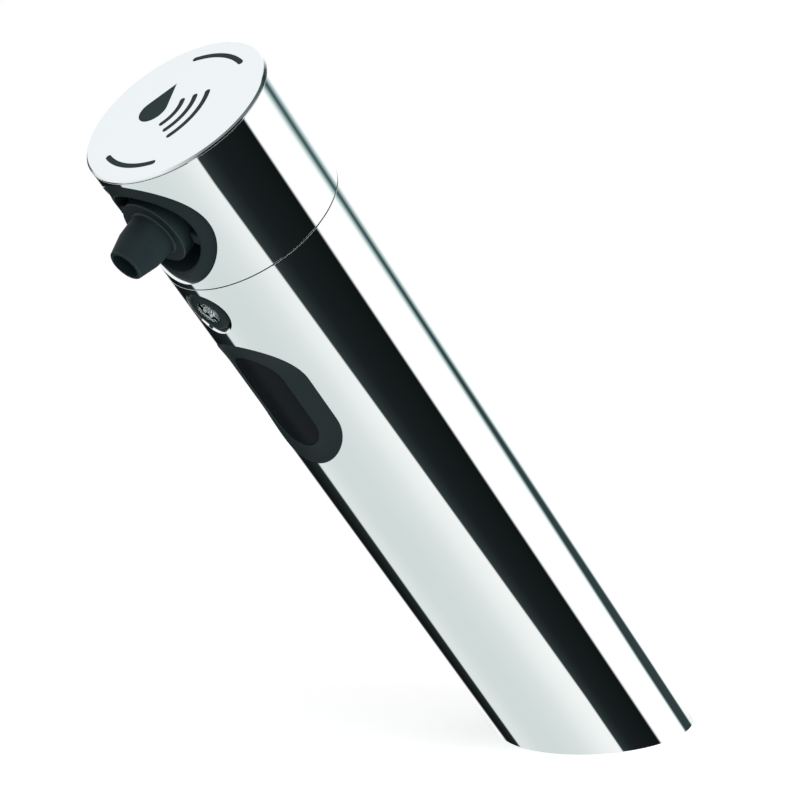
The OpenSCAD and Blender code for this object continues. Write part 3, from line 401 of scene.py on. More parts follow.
# finish of each material slot: two tones, roughness range, metal, shine,
# and the size and depth of a mould grain or the size of a handling film
finishes = {
    "chrome": {"tones": ((0.955, 0.965, 0.965), (0.940, 0.952, 0.952)), "rough": (0.015, 0.03),
               "metal": 1.0, "film": 22.0},
    "black_plastic": {"tones": ((0.0114, 0.0220, 0.0238), (0.0152, 0.0272, 0.0295)), "rough": (0.44, 0.56),
                      "grain": (2600.0, 0.10), "specular": 0.14},
    "sensor_glass": {"tones": ((0.0108, 0.0142, 0.0165), (0.0128, 0.0165, 0.0190)), "rough": (0.30, 0.42),
                     "film": 60.0, "specular": 0.02},
    "rubber": {"tones": ((0.012, 0.013, 0.013), (0.022, 0.023, 0.023)), "rough": (0.62, 0.80),
               "grain": (3200.0, 0.18), "specular": 0.25},
    "white_plastic": {"tones": ((0.74, 0.74, 0.71), (0.80, 0.80, 0.78)), "rough": (0.34, 0.48),
                      "grain": (1500.0, 0.05)},
    "grey_plastic": {"tones": ((0.17, 0.18, 0.19), (0.22, 0.23, 0.24)), "rough": (0.46, 0.60),
                     "grain": (1800.0, 0.10)},
    "pump_plastic": {"tones": ((0.68, 0.64, 0.52), (0.75, 0.71, 0.60)), "rough": (0.40, 0.55),
                     "grain": (1500.0, 0.08)},
    "gear_plastic": {"tones": ((0.82, 0.74, 0.48), (0.88, 0.81, 0.56)), "rough": (0.30, 0.42),
                     "grain": (1200.0, 0.05)},
    "steel": {"tones": ((0.58, 0.59, 0.60), (0.66, 0.67, 0.68)), "rough": (0.22, 0.36),
              "metal": 1.0, "film": 90.0},
    "plated_steel": {"tones": ((0.54, 0.56, 0.58), (0.63, 0.64, 0.66)), "rough": (0.28, 0.46),
                     "metal": 1.0, "film": 60.0},
    "magnet": {"tones": ((0.055, 0.055, 0.060), (0.085, 0.085, 0.090)), "rough": (0.55, 0.72),
               "grain": (1600.0, 0.20)},
    "armature": {"tones": ((0.34, 0.18, 0.09), (0.50, 0.30, 0.15)), "rough": (0.30, 0.48),
                 "grain": (1400.0, 0.18)},
    "copper": {"tones": ((0.66, 0.33, 0.17), (0.78, 0.44, 0.25)), "rough": (0.20, 0.36),
               "metal": 1.0, "film": 80.0},
    "bronze": {"tones": ((0.58, 0.41, 0.20), (0.72, 0.54, 0.29)), "rough": (0.34, 0.50),
               "metal": 1.0, "film": 80.0},
    "cast_brass": {"tones": ((0.62, 0.47, 0.25), (0.76, 0.61, 0.36)), "rough": (0.30, 0.48),
                   "metal": 1.0, "film": 45.0},
    "board": {"tones": ((0.020, 0.120, 0.050), (0.035, 0.180, 0.080)), "rough": (0.28, 0.40),
              "grain": (900.0, 0.05)},
    "chip": {"tones": ((0.028, 0.028, 0.032), (0.045, 0.045, 0.050)), "rough": (0.42, 0.58),
             "grain": (2200.0, 0.12)},
    "terminal": {"tones": ((0.060, 0.300, 0.100), (0.100, 0.390, 0.150)), "rough": (0.40, 0.55),
                 "grain": (1800.0, 0.08)},
    "ribbon": {"tones": ((0.48, 0.25, 0.08), (0.60, 0.35, 0.13)), "rough": (0.22, 0.34),
               "grain": (600.0, 0.04)},
    "lens_facets": {"tones": ((0.50, 0.56, 0.57), (0.68, 0.73, 0.73)), "rough": (0.06, 0.16),
                    "metal": 1.0, "film": 900.0},
    "lamp": {"tones": ((0.72, 0.77, 0.82), (0.80, 0.85, 0.90)), "rough": (0.08, 0.18),
             "film": 120.0},
    # lighter, glossier black for the nozzle's edges: partly wear, partly painted highlight
    "worn_plastic_and_highlight": {"tones": ((0.021, 0.035, 0.038), (0.028, 0.044, 0.047)), "rough": (0.36, 0.46),
                     "grain": (2600.0, 0.06), "specular": 0.2},
    "lead": {"tones": ((0.024, 0.024, 0.024), (0.038, 0.038, 0.038)), "rough": (0.50, 0.66),
             "grain": (2000.0, 0.12)},
    "silicone": {"tones": ((0.70, 0.72, 0.72), (0.78, 0.80, 0.80)), "rough": (0.34, 0.50),
                 "grain": (900.0, 0.05)},
    "gasket_sheet": {"tones": ((0.24, 0.17, 0.10), (0.32, 0.23, 0.14)), "rough": (0.70, 0.85),
                     "grain": (1600.0, 0.22)},
}


def startMaterial(name):
    material = bpy.data.materials.new(name)
    material.use_nodes = True
    return material, material.node_tree, material.node_tree.nodes["Principled BSDF"].inputs


def placeEffect(tree, group, size):
    effect = node(tree, "ShaderNodeGroup", node_tree=group)
    effect.inputs["Scale"].default_value = size
    tree.links.new(node(tree, "ShaderNodeTexCoord").outputs["Object"], effect.inputs["Vector"])
    return effect.outputs


def makeFinish(name, look):
    material, tree, shader = startMaterial(name)
    shader["Metallic"].default_value = look.get("metal", 0.0)
    shader["Specular IOR Level"].default_value = look.get("specular", 0.5)
    if "grain" in look:
        size, depth = look["grain"]
        grain = placeEffect(tree, grainGroup, size)
        mask = grain["Tone"]
        bump = node(tree, "ShaderNodeBump")
        bump.inputs["Strength"].default_value = depth
        bump.inputs["Distance"].default_value = mouldGrain["height"]
        tree.links.new(grain["Height"], bump.inputs["Height"])
        tree.links.new(bump.outputs[0], shader["Normal"])
    else:
        mask = placeEffect(tree, filmGroup, look["film"])["Film"]
    low, high = look["rough"]
    tree.links.new(mixColour(tree, mask, *look["tones"]), shader["Base Color"])
    tree.links.new(maths(tree, "MULTIPLY_ADD", mask, high - low, low), shader["Roughness"])
    return material


clearLook = {"tones": ((0.97, 0.985, 0.98), (0.92, 0.95, 0.95)), "bending": 1.49, "film": 260.0, "haze": 0.06}


def makeClear():
    # clear moulded lens, a little hazed
    material, tree, shader = startMaterial("clear_lens")
    shader["Transmission Weight"].default_value = 1.0
    shader["IOR"].default_value = clearLook["bending"]
    film = placeEffect(tree, filmGroup, clearLook["film"])["Film"]
    tree.links.new(mixColour(tree, film, *clearLook["tones"]), shader["Base Color"])
    tree.links.new(maths(tree, "MULTIPLY", film, clearLook["haze"]), shader["Roughness"])
    return material


# the cap's rim: a real satin roughness, and a painted reflection of the room's light and dark bands in its
# colour
capRimSatinAndPaintedReflection = {
    "from": 24.56, "to": 24.64,         # distance from the tube's axis
    "rough": 0.22,
    "tones": (                          # angle round the tube from its front, colour of the rim there: a painted reflection, white where the rim would mirror the bright room and grey to near black where it would mirror the dark screens
        (35, (0.93, 0.94, 0.94)), (62, (0.20, 0.235, 0.24)), (92, (0.17, 0.20, 0.205)),
        (120, (0.055, 0.07, 0.073)), (130, (0.055, 0.07, 0.073)), (142, (0.93, 0.94, 0.94)),
    ),
}


def makeCapChromeWithPaintedRim():
    # mirror face with a satin rim whose colour is a painted reflection that changes round the tube, told
    # apart by the distance from the tube's axis
    material = makeFinish("cap_chrome", finishes["chrome"])
    tree = material.node_tree
    shader = tree.nodes["Principled BSDF"]
    turned, around, _ = inTube(tree, node(tree, "ShaderNodeTexCoord").outputs["Object"])
    flat = node(tree, "ShaderNodeVectorMath", operation="MULTIPLY")
    flat.inputs[1].default_value = (1000.0, 1000.0, 0.0)  # metres to mm, level with the cap
    tree.links.new(turned, flat.inputs[0])
    away = node(tree, "ShaderNodeVectorMath", operation="LENGTH")
    tree.links.new(flat.outputs[0], away.inputs[0])
    onRim = blendBetween(tree, away.outputs["Value"], capRimSatinAndPaintedReflection["from"], capRimSatinAndPaintedReflection["to"])
    share = maths(tree, "DIVIDE", around, 180.0)
    tone = ramp(tree, share, [(angle / 180, colour) for angle, colour in capRimSatinAndPaintedReflection["tones"]])
    colour, rough = shader.inputs["Base Color"], shader.inputs["Roughness"]
    # the rim's colour is the painted reflection, chosen by the angle round the tube
    tree.links.new(mixColour(tree, onRim, colour.links[0].from_socket, tone), colour)
    tree.links.new(maths(tree, "MAXIMUM", rough.links[0].from_socket,
                         maths(tree, "MULTIPLY", onRim, capRimSatinAndPaintedReflection["rough"])), rough)
    return material


materials = {name: makeFinish(name, look) for name, look in finishes.items()}
materials["clear_lens"] = makeClear()
materials["cap_chrome"] = makeCapChromeWithPaintedRim()
ownFinish = {"top_cap": "cap_chrome"}
for part in frame["record"]["subparts"]:
    for place in nodes[part["node"]].material_slots:
        place.material = materials[ownFinish.get(part["node"], part["material_slot"])]
print("finishes made:", len(materials))


# meshes

meshWork = {"merge": 0.0005, "sliver": 0.0002}     # points this close become one, and shorter edges go


def settle(name, mesh, slot, body, *replaced):
    piece = bpy.data.objects.new(name, mesh)
    scene.collection.objects.link(piece)
    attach(piece, body)
    if replaced:
        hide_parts(*replaced)


def faceOutwards(mesh, merge=0.0, sliver=0.0):
    work = bmesh.new()
    work.from_mesh(mesh)
    if merge:
        bmesh.ops.remove_doubles(work, verts=work.verts, dist=merge)
    if sliver:
        bmesh.ops.dissolve_degenerate(work, edges=work.edges, dist=sliver)
    bmesh.ops.recalc_face_normals(work, faces=work.faces)
    work.to_mesh(mesh)
    work.free()


def smooth(mesh, sharpAt=None):
    mesh.polygons.foreach_set("use_smooth", [True] * len(mesh.polygons))
    if sharpAt:
        mesh.set_sharp_from_angle(angle=math.radians(sharpAt))


def closeMesh(name, points, faces, slot, sharpAt):
    # a smooth closed mesh in the shared frame, from points in the tube's frame
    mesh = bpy.data.meshes.new(name)
    mesh.from_pydata([Vector(p) for p in points], [], faces)
    faceOutwards(mesh, meshWork["merge"])
    mesh.transform(toRow)
    mesh.materials.append(materials[slot])
    smooth(mesh, sharpAt)
    return mesh


def bandFaces(rows, count, first=0, wrap=False):
    # four-sided faces between closed rows of count points; with wrap, from the last row to the first too
    faces = []
    for row in range(rows if wrap else rows - 1):
        a, b = first + row * count, first + (row + 1) % rows * count
        for i in range(count):
            k = (i + 1) % count
            faces.append((a + i, a + k, b + k, b + i))
    return faces


def outline(wide, tall, count):
    # points and outward directions round a circle or a slot with round ends, from its right side upwards
    radius = wide / 2
    straight = (tall - wide) / 2
    bend = math.pi * radius
    legs = (straight, bend, 2 * straight, bend, straight)
    total = 2 * bend + 4 * straight
    out = []
    for i in range(count):
        run = total * i / count
        leg = 0
        while leg < len(legs) - 1 and run >= legs[leg]:
            run -= legs[leg]
            leg += 1
        if leg in (0, 4):
            out.append((radius, run if leg == 0 else run - straight, 1.0, 0.0))
        elif leg == 2:
            out.append((-radius, straight - run, -1.0, 0.0))
        else:
            angle = run / radius + (0 if leg == 1 else math.pi)
            rise = straight if leg == 1 else -straight
            across, up = math.cos(angle), math.sin(angle)
            out.append((radius * across, rise + radius * up, across, up))
    return out


# chrome shells: dense skins with true round normals and bevelled openings

shell = {
    "columns": 120,
    "pitch": 2.2,
    "nearSeam": 0.4,       # pitches that the even points stay clear of the seam, the rims and the openings
    "nearFoot": 0.6,
    "nearTop": 0.5,
    "nearOpening": 0.45,
    "bevelTilt": 70.0,
    "bevelSoft": 0.02,
    "paintedShadowUnder": 0.1,      # a bevel narrower than this has its bevel and wall painted black: a painted shadow line in the close joint
    "wall": 0.8,
    "edge": 0.08,
    "edgeSteps": 3,
    "footBlend": 12.0,     # height over which the bore's points follow its own foot, and its top
    "topBlend": 3.0,
    "openingSteps": 132,
    "openingSlack": 0.02,
    "sameWithin": 1e-6,
    "sameDigits": 3,       # points that agree to this many decimals are one
}


def tubeOut(angle):
    return Vector((math.sin(angle), -math.cos(angle), 0))


def inOpening(cuts, u, z, grow):
    # whether a point of the unrolled skin is in an opening, grown on all sides
    angle = u / tube["radius"]
    if abs(angle) > math.pi / 2:
        return False
    x = tube["radius"] * math.sin(angle)
    for at, wide, tall, _ in cuts:
        gap = math.hypot(x, max(abs(z - at) - (tall - wide) / 2, 0))
        if gap < wide / 2 + grow:
            return True
    return False


def unrollSkin(angles, lowEdge, topAt, cuts):
    # the skin laid flat in even triangles: its points, its faces, and the points along each rim and opening
    radius, edge, columns, pitch = tube["radius"], shell["edge"], shell["columns"], shell["pitch"]
    flat, links = [], []

    def addRun(points, closed=False):
        first = len(flat)
        flat.extend(points)
        ids = list(range(first, len(flat)))
        links.extend(zip(ids, ids[1:] + ids[:1] if closed else ids[1:]))
        return ids

    runs = [addRun([(radius * a, lowEdge(a, radius) + edge) for a in angles]),
            addRun([(radius * a, topAt - edge) for a in angles])]
    seamFoot = lowEdge(math.pi, radius) + edge
    rises = int((topAt - edge - seamFoot) / pitch)
    for side in (-math.pi, math.pi):
        addRun([(radius * side, seamFoot + (topAt - edge - seamFoot) * i / rises) for i in range(1, rises)])
    for at, wide, tall, _ in cuts:
        ring = outline(wide, tall, shell["openingSteps"])
        runs.append(addRun([(radius * math.asin(x / radius), at + z) for x, z, _, _ in ring], True))
    row, z = 0, min(p[1] for p in flat) + pitch
    while z < topAt - edge - shell["nearTop"] * pitch:
        for i in range(columns):
            u = radius * (-math.pi + 2 * math.pi * (i + 0.5 * (row % 2)) / columns)
            clearSeam = abs(u) < radius * math.pi - shell["nearSeam"] * pitch
            clearFoot = z > lowEdge(u / radius, radius) + shell["nearFoot"] * pitch
            if clearSeam and clearFoot and not inOpening(cuts, u, z, shell["nearOpening"] * pitch):
                flat.append((u, z))
        row += 1
        z += pitch
    cut = delaunay_2d_cdt([Vector(p) for p in flat], links, [], 0, shell["sameWithin"])
    verts, _, faces, origins, _, _ = cut
    home = {k: i for i, ids in enumerate(origins) for k in ids}
    return verts, faces, [[home[k] for k in run] for run in runs]


def addPoint(skin, point, normal):
    key = tuple(round(v, shell["sameDigits"]) for v in point)
    if key not in skin["seat"]:
        skin["seat"][key] = len(skin["points"])
        skin["points"].append(point)
        skin["normals"].append(normal)
    return skin["seat"][key]


def onTube(skin, angle, z, r, normal):
    out = tubeOut(angle)
    return addPoint(skin, (r * out.x, r * out.y, z), normal)


def addStrip(skin, rows):
    for a, b in zip(rows, rows[1:]):
        for i in range(len(a)):
            k = (i + 1) % len(a)
            quad = [a[i], a[k], b[k], b[i]]
            if len(set(quad)) == 4:
                skin["faces"].append(quad)


def rollRim(skin, outer, inner, angles, level, ahead, sign):
    # rounds a rim over from the skin to the bore; sign is 1 at the top and -1 at the foot
    edge = shell["edge"]
    rows = [outer]
    for a in quarter(shell["edgeSteps"])[1:]:
        r = tube["radius"] - edge * (1 - math.cos(a))
        line = []
        for angle in angles:
            normal = (tubeOut(angle) * math.cos(a) + ahead * math.sin(a)).normalized()
            line.append(onTube(skin, angle, level(angle, r) - sign * edge * (1 - math.sin(a)), r, normal))
        rows.append(line)
    addStrip(skin, rows + [inner])


def wallOpening(skin, outer, inner, at, wide, tall, bevel):
    # bevel and wall of an opening, from the skin to the bore
    radius, soft = tube["radius"], shell["bevelSoft"]
    tilt = math.radians(shell["bevelTilt"])
    slope = math.tan(tilt)
    rows = [outer]
    for inset, deep, lean in ((soft, soft * slope, tilt), (bevel, bevel * slope, tilt),
                              (bevel, bevel * slope + shell["wall"], math.radians(90))):
        line = []
        for x, z, nx, nz in outline(wide - 2 * inset, tall - 2 * inset, shell["openingSteps"]):
            out = Vector((x / radius, -faceHeight(x) / radius, 0))
            normal = (out * math.cos(lean) - Vector((nx, 0, nz)) * math.sin(lean)).normalized()
            line.append(addPoint(skin, (x, -faceHeight(x) + deep, at + z), normal))
        rows.append(line)
    first = len(skin["faces"])
    addStrip(skin, rows + [inner])
    # these chrome faces take black plastic: painted shadow in the joint
    if bevel < shell["paintedShadowUnder"]:
        skin["paintedShadow"].update(range(first, len(skin["faces"])))


def shellPiece(name, replaced, lowEdge, topAt, cuts, lowAhead):
    radius, bore, edge, columns = tube["radius"], tube["bore"], shell["edge"], shell["columns"]
    angles = [-math.pi + 2 * math.pi * i / columns for i in range(columns + 1)]
    verts, faces, (low, top, *loops) = unrollSkin(angles, lowEdge, topAt, cuts)
    skin = {"points": [], "normals": [], "faces": [], "seat": {}, "paintedShadow": set()}
    outer = [onTube(skin, v.x / radius, v.y, radius, tubeOut(v.x / radius)) for v in verts]
    inner = []
    for v in verts:
        angle = v.x / radius
        near = max(0.0, 1 - (v.y - lowEdge(angle, radius) - edge) / shell["footBlend"])
        drop = (lowEdge(angle, bore) - lowEdge(angle, radius) - edge) * near
        lift = edge * max(0.0, 1 - (topAt - edge - v.y) / shell["topBlend"])
        inner.append(onTube(skin, angle, v.y + drop + lift, bore, -tubeOut(angle)))
    for face in faces:
        u = sum(verts[i].x for i in face) / 3
        z = sum(verts[i].y for i in face) / 3
        if inOpening(cuts, u, z, -shell["openingSlack"]) or z < lowEdge(u / radius, radius) + edge / 2:
            continue
        skin["faces"].append([outer[i] for i in face])
        skin["faces"].append([inner[i] for i in reversed(face)])

    def topEdge(angle, r):
        return topAt

    def both(run):  # its points on the skin and on the bore
        return [outer[i] for i in run], [inner[i] for i in run]

    for run, level, ahead, sign in ((top, topEdge, Vector((0, 0, 1)), 1), (low, lowEdge, lowAhead, -1)):
        rollRim(skin, *both(run[:-1]), angles[:-1], level, ahead, sign)
    for run, cut in zip(loops, cuts):
        wallOpening(skin, *both(run), *cut)

    mesh = bpy.data.meshes.new(name)
    mesh.from_pydata([Vector(p) for p in skin["points"]], [], skin["faces"])
    faceOutwards(mesh)
    mesh.transform(toRow)
    mesh.materials.append(materials["chrome"])
    if skin["paintedShadow"]:  # a close joint's chrome bevel and wall are painted black, as a painted shadow line
        mesh.materials.append(materials["black_plastic"])
        for i in skin["paintedShadow"]:
            mesh.polygons[i].material_index = 1
    smooth(mesh)
    mesh.normals_split_custom_set_from_vertices([leanTurn.to_3x3() @ Vector(n) for n in skin["normals"]])
    settle(name, mesh, "chrome", "housing", replaced)


openings = {           # height up the tube, width, length and the bevel's width
    "nozzle": (tube["nozzleAt"], 33.0, 33.0, 0.24),
    "light": (tube["lightAt"] - 0.2, 13.8, 13.8, 0.60),     # a hair low, so more of its flare shows below
    "sensor": (tube["sensorAt"], 29.7, 44.2, 0.05),
}


def deckLine(angle, r):
    return r * math.cos(angle) * leanTan


def seamLine(angle, r):
    return tube["seamAt"] + tube["seamGap"] / 2


shellPiece("chromeTube", "body_tube", deckLine, tube["seamAt"] - tube["seamGap"] / 2,
           [openings["light"], openings["sensor"]], Vector((0, -leanSin, -leanCos)))
shellPiece("chromeHead", "head_shell", seamLine, tube["headTop"], [openings["nozzle"]], Vector((0, 0, -1)))
print("chrome shells made")


# black surrounds: rows of points laid on the tube's curve, from the back edge over the face to the opening

surrounds = {"edgeSteps": 4, "sharpAt": 40.0}


def addSurround(name, replaced, s, rows, blocks=()):
    points, faces = [], bandFaces(len(rows), s["steps"], wrap=True)
    for wide, tall, kind, value in rows:
        for x, z, _, _ in outline(wide, tall, s["steps"]):
            k = value if kind == "flat" else faceHeight(x, s["sink"]) - value
            points.append((x, -k, s["at"] + z))
    for corners, sides in blocks:
        first = len(points)
        points.extend(corners)
        faces.extend(tuple(first + i for i in side) for side in sides)
    mesh = closeMesh(name, points, faces, "black_plastic", surrounds["sharpAt"])
    settle(name, mesh, "black_plastic", "housing", replaced)


def edgeRows(wide, tall, radius):
    # rolled outer edge: from the side wall up onto the face
    rows = []
    for a in quarter(surrounds["edgeSteps"]):
        inset = 2 * radius * (1 - math.cos(a))
        rows.append((wide - inset, tall - inset, "face", radius * (1 - math.sin(a))))
    return rows


def mouthRows(across, radius):
    # rolled inner edge: from the face down into a round opening
    rows = []
    for a in quarter(surrounds["edgeSteps"]):
        wide = across + 2 * radius * (1 - math.sin(a))
        rows.append((wide, wide, "face", radius * (1 - math.cos(a))))
    return rows


def between(a, b, steps):
    # rows across the face from one outline to the next
    rows = []
    for i in range(1, steps):
        wide, tall, deep = (a[k] + (b[k] - a[k]) * i / steps for k in (0, 1, 3))
        rows.append((wide, tall, "face", deep))
    return rows


bayonet = {"turns": (-18, 162), "soft": 0.25}


def bayonetBlocks(s, at):
    # blocks round the nozzle's axis, with their edges broken
    low, high, soft = s["low"], s["high"], bayonet["soft"]
    blocks = []
    for turn in bayonet["turns"]:
        cosTurn, sinTurn = math.cos(math.radians(turn)), math.sin(math.radians(turn))
        corners = []
        for k, inset in ((low, soft), (low + soft, 0), (high - soft, 0), (high, soft)):
            near, far, rise = s["near"] + inset, s["far"] - inset, s["half"] - inset
            for x, z in ((near, -rise), (far, -rise), (far, rise), (near, rise)):
                corners.append((x * cosTurn - z * sinTurn, -k, at + x * sinTurn + z * cosTurn))
        blocks.append((corners, bandFaces(4, 4) + [(0, 1, 2, 3), (12, 13, 14, 15)]))
    return blocks


nozzleSurround = {
    "at": tube["nozzleAt"], "across": 32.5, "sink": 0.6, "rise": 0.5, "mouth": 25.2, "back": 12.0,
    "floor": 15.0, "hole": 10.6, "edge": 0.2, "mouthEdge": 0.55, "faceSteps": 6, "steps": 144,
    "corner": ((0.0, 0.4), (0.24, 0.12), (0.8, 0.0)),     # rounding at the floor: inset, height over it
    "tabs": {"near": 10.0, "far": 13.2, "half": 1.6, "low": 19.4, "high": 21.4},
}


def addNozzleSurround():
    s = nozzleSurround
    across, mouth, hole, floor, back = (s[k] for k in ("across", "mouth", "hole", "floor", "back"))
    outer = edgeRows(across, across, s["edge"])
    inner = [(wide, tall, kind, deep - s["rise"])
             for wide, tall, kind, deep in mouthRows(mouth, s["mouthEdge"])]
    rows = [(across, across, "flat", back)] + outer + between(outer[-1], inner[0], s["faceSteps"]) + inner
    rows += [(mouth - inset, mouth - inset, "flat", floor + rise) for inset, rise in s["corner"]]
    rows += [(hole, hole, "flat", floor), (hole, hole, "flat", back)]
    addSurround("nozzleSurround", "nozzle_bezel", s, rows, bayonetBlocks(s["tabs"], s["at"]))


lightRing = {
    "at": tube["lightAt"], "across": 12.0, "sink": 0.0, "mouth": 7.1, "back": 18.2, "seat": 8.5,
    "seatAt": 21.75, "edge": 1.1, "mouthEdge": 0.3, "faceSteps": 4, "steps": 96,
}


def addLightRing():
    s = lightRing
    across, mouth, seat, seatAt, back = (s[k] for k in ("across", "mouth", "seat", "seatAt", "back"))
    outer = edgeRows(across, across, s["edge"])
    inner = mouthRows(mouth, s["mouthEdge"])
    rows = [(across, across, "flat", back)] + outer + between(outer[-1], inner[0], s["faceSteps"]) + inner
    rows += [(mouth, mouth, "flat", seatAt), (seat, seat, "flat", seatAt), (seat, seat, "flat", back)]
    addSurround("lightRing", "indicator_ring", s, rows)


sensorSurround = {
    "at": tube["sensorAt"], "across": (29.5, 44.0), "sink": 0.0, "window": (16.4, 32.5), "windowAt": 22.2,
    "seat": 1.6, "back": 17.2, "edge": 0.1, "dish": 0.95, "faceSteps": 10, "steps": 168,
}


def addSensorSurround():
    s = sensorSurround
    outer = edgeRows(*s["across"], s["edge"])
    seat = [v + s["seat"] for v in s["window"]]
    rows = [(*s["across"], "flat", s["back"])] + outer
    for i in range(1, s["faceSteps"] + 1):  # hollow face: steep at the rim, level by the window
        t = i / s["faceSteps"]
        wide, tall = (a + (b - a) * t for a, b in zip(outer[-1][:2], s["window"]))
        rows.append((wide, tall, "face", s["dish"] * (1 - (1 - t) ** 2)))
    for line, out in ((s["window"], s["windowAt"]), (seat, s["windowAt"]), (seat, s["back"])):
        rows.append((*line, "flat", out))
    addSurround("sensorSurround", "sensor_bezel", s, rows)


addNozzleSurround()
addLightRing()
addSensorSurround()
print("black surrounds made")


# turned pieces: one node tree spins a profile round its axis

def makeTurned():
    tree = bpy.data.node_groups.new("turnedPiece", "GeometryNodeTree")
    for label, way, kind in (("Profile", "INPUT", "Geometry"), ("Steps", "INPUT", "Int"),
                             ("Finish", "INPUT", "Material"), ("Piece", "OUTPUT", "Geometry")):
        tree.interface.new_socket(label, in_out=way, socket_type="NodeSocket" + kind)
    given, result = node(tree, "NodeGroupInput"), node(tree, "NodeGroupOutput")
    link = tree.links.new
    size = node(tree, "GeometryNodeAttributeDomainSize", component="MESH")
    link(given.outputs["Profile"], size.inputs[0])
    grid = node(tree, "GeometryNodeMeshGrid")
    more = node(tree, "FunctionNodeIntegerMath", operation="ADD")
    link(given.outputs["Steps"], more.inputs[0])
    more.inputs[1].default_value = 1
    link(more.outputs[0], grid.inputs["Vertices X"])
    link(size.outputs["Point Count"], grid.inputs["Vertices Y"])
    index = node(tree, "GeometryNodeInputIndex").outputs[0]
    column = node(tree, "FunctionNodeIntegerMath", operation="DIVIDE_FLOOR")
    rowOf = node(tree, "FunctionNodeIntegerMath", operation="MODULO")
    for counter in (column, rowOf):
        link(index, counter.inputs[0])
        link(size.outputs["Point Count"], counter.inputs[1])
    sample = node(tree, "GeometryNodeSampleIndex", data_type="FLOAT_VECTOR", domain="POINT")
    link(given.outputs["Profile"], sample.inputs["Geometry"])
    link(node(tree, "GeometryNodeInputPosition").outputs[0], sample.inputs["Value"])
    link(rowOf.outputs[0], sample.inputs["Index"])
    share = maths(tree, "DIVIDE", column.outputs[0], given.outputs["Steps"])
    turn = maths(tree, "MULTIPLY", share, 2 * math.pi)
    spun = node(tree, "ShaderNodeVectorRotate", rotation_type="Z_AXIS")
    link(sample.outputs["Value"], spun.inputs["Vector"])
    link(turn, spun.inputs["Angle"])
    moved = node(tree, "GeometryNodeSetPosition")
    link(grid.outputs["Mesh"], moved.inputs["Geometry"])
    link(spun.outputs[0], moved.inputs["Position"])
    joined = node(tree, "GeometryNodeMergeByDistance")
    joined.inputs["Distance"].default_value = meshWork["merge"]
    link(moved.outputs[0], joined.inputs["Geometry"])
    real = node(tree, "GeometryNodeRealizeInstances")
    link(joined.outputs[0], real.inputs[0])
    finish = node(tree, "GeometryNodeSetMaterial")
    link(real.outputs[0], finish.inputs["Geometry"])
    link(given.outputs["Finish"], finish.inputs["Material"])
    link(finish.outputs[0], result.inputs["Piece"])
    return tree


turnedTree = makeTurned()


def turnedMesh(name, profile, steps, slot, placing, sharpAt):
    line = bpy.data.meshes.new(name + "Profile")
    line.from_pydata([(r, 0, k) for r, k in profile], [(i, i + 1) for i in range(len(profile) - 1)], [])
    lathe = bpy.data.objects.new(name + "Profile", line)
    scene.collection.objects.link(lathe)
    spin = lathe.modifiers.new("turned", "NODES")
    spin.node_group = turnedTree
    sockets = {s.name: s.identifier for s in turnedTree.interface.items_tree if s.in_out == "INPUT"}
    spin[sockets["Steps"]] = steps
    spin[sockets["Finish"]] = materials[slot]
    ready = lathe.evaluated_get(bpy.context.evaluated_depsgraph_get())
    mesh = bpy.data.meshes.new_from_object(ready)
    lathe.modifiers.remove(spin)
    bpy.data.objects.remove(lathe)
    mesh.name = name
    faceOutwards(mesh, meshWork["merge"], meshWork["sliver"])
    mesh.transform(toRow @ placing)
    smooth(mesh, sharpAt)
    return mesh


def rounded(corners, steps, most):
    # profile with its corners rounded: each corner is radius, height and the rounding there,
    # which takes at most that share of the sides it joins
    out = []
    for i, (r, k, soft) in enumerate(corners):
        here = Vector((r, k))
        if not soft or i in (0, len(corners) - 1):
            out.append((r, k))
            continue
        before = Vector(corners[i - 1][:2]) - here
        after = Vector(corners[i + 1][:2]) - here
        half = before.angle(after) / 2
        cut = min(soft / math.tan(half), before.length * most, after.length * most)
        start, end = here + before.normalized() * cut, here + after.normalized() * cut
        for s in range(steps + 1):
            t = s / steps
            p = start * (1 - t) ** 2 + here * 2 * t * (1 - t) + end * t * t
            out.append((p.x, p.y))
    return out


soapNozzle = {
    "at": tube["nozzleAt"], "steps": 144, "sharpAt": 35.0, "cornerSteps": 4, "cornerShare": 0.45,
    "corners": (      # radius, distance out from the tube's axis, rounding
        (1.8, 6.0, 0), (5.0, 6.0, 0.2), (5.0, 8.1, 0), (4.1, 8.1, 0), (4.1, 9.9, 0), (5.0, 9.9, 0),
        (5.0, 15.05, 0), (9.4, 15.05, 0.2), (9.4, 24.0, 0.45), (6.7, 24.0, 0.30), (6.3, 24.4, 0.30),
        (5.9, 30.0, 1.6), (4.55, 35.2, 0.45), (4.1, 35.5, 0.25), (3.6, 35.5, 0.25), (3.6, 22.5, 0),
        (1.8, 20.7, 0), (1.8, 6.0, 0),
    ),
    "wearAndHighlight": ((9.35, 23.95, 0.2), (6.5, 24.15, 0.2), (4.5, 35.25, 0.16)),  # edges polished by hands, and lighter in colour as painted highlight lines along the flange's rim, the barrel's root and the tip's rim
    "lugs": {"near": 8.8, "far": 11.6, "half": 2.5, "low": 15.3, "high": 19.1},
}


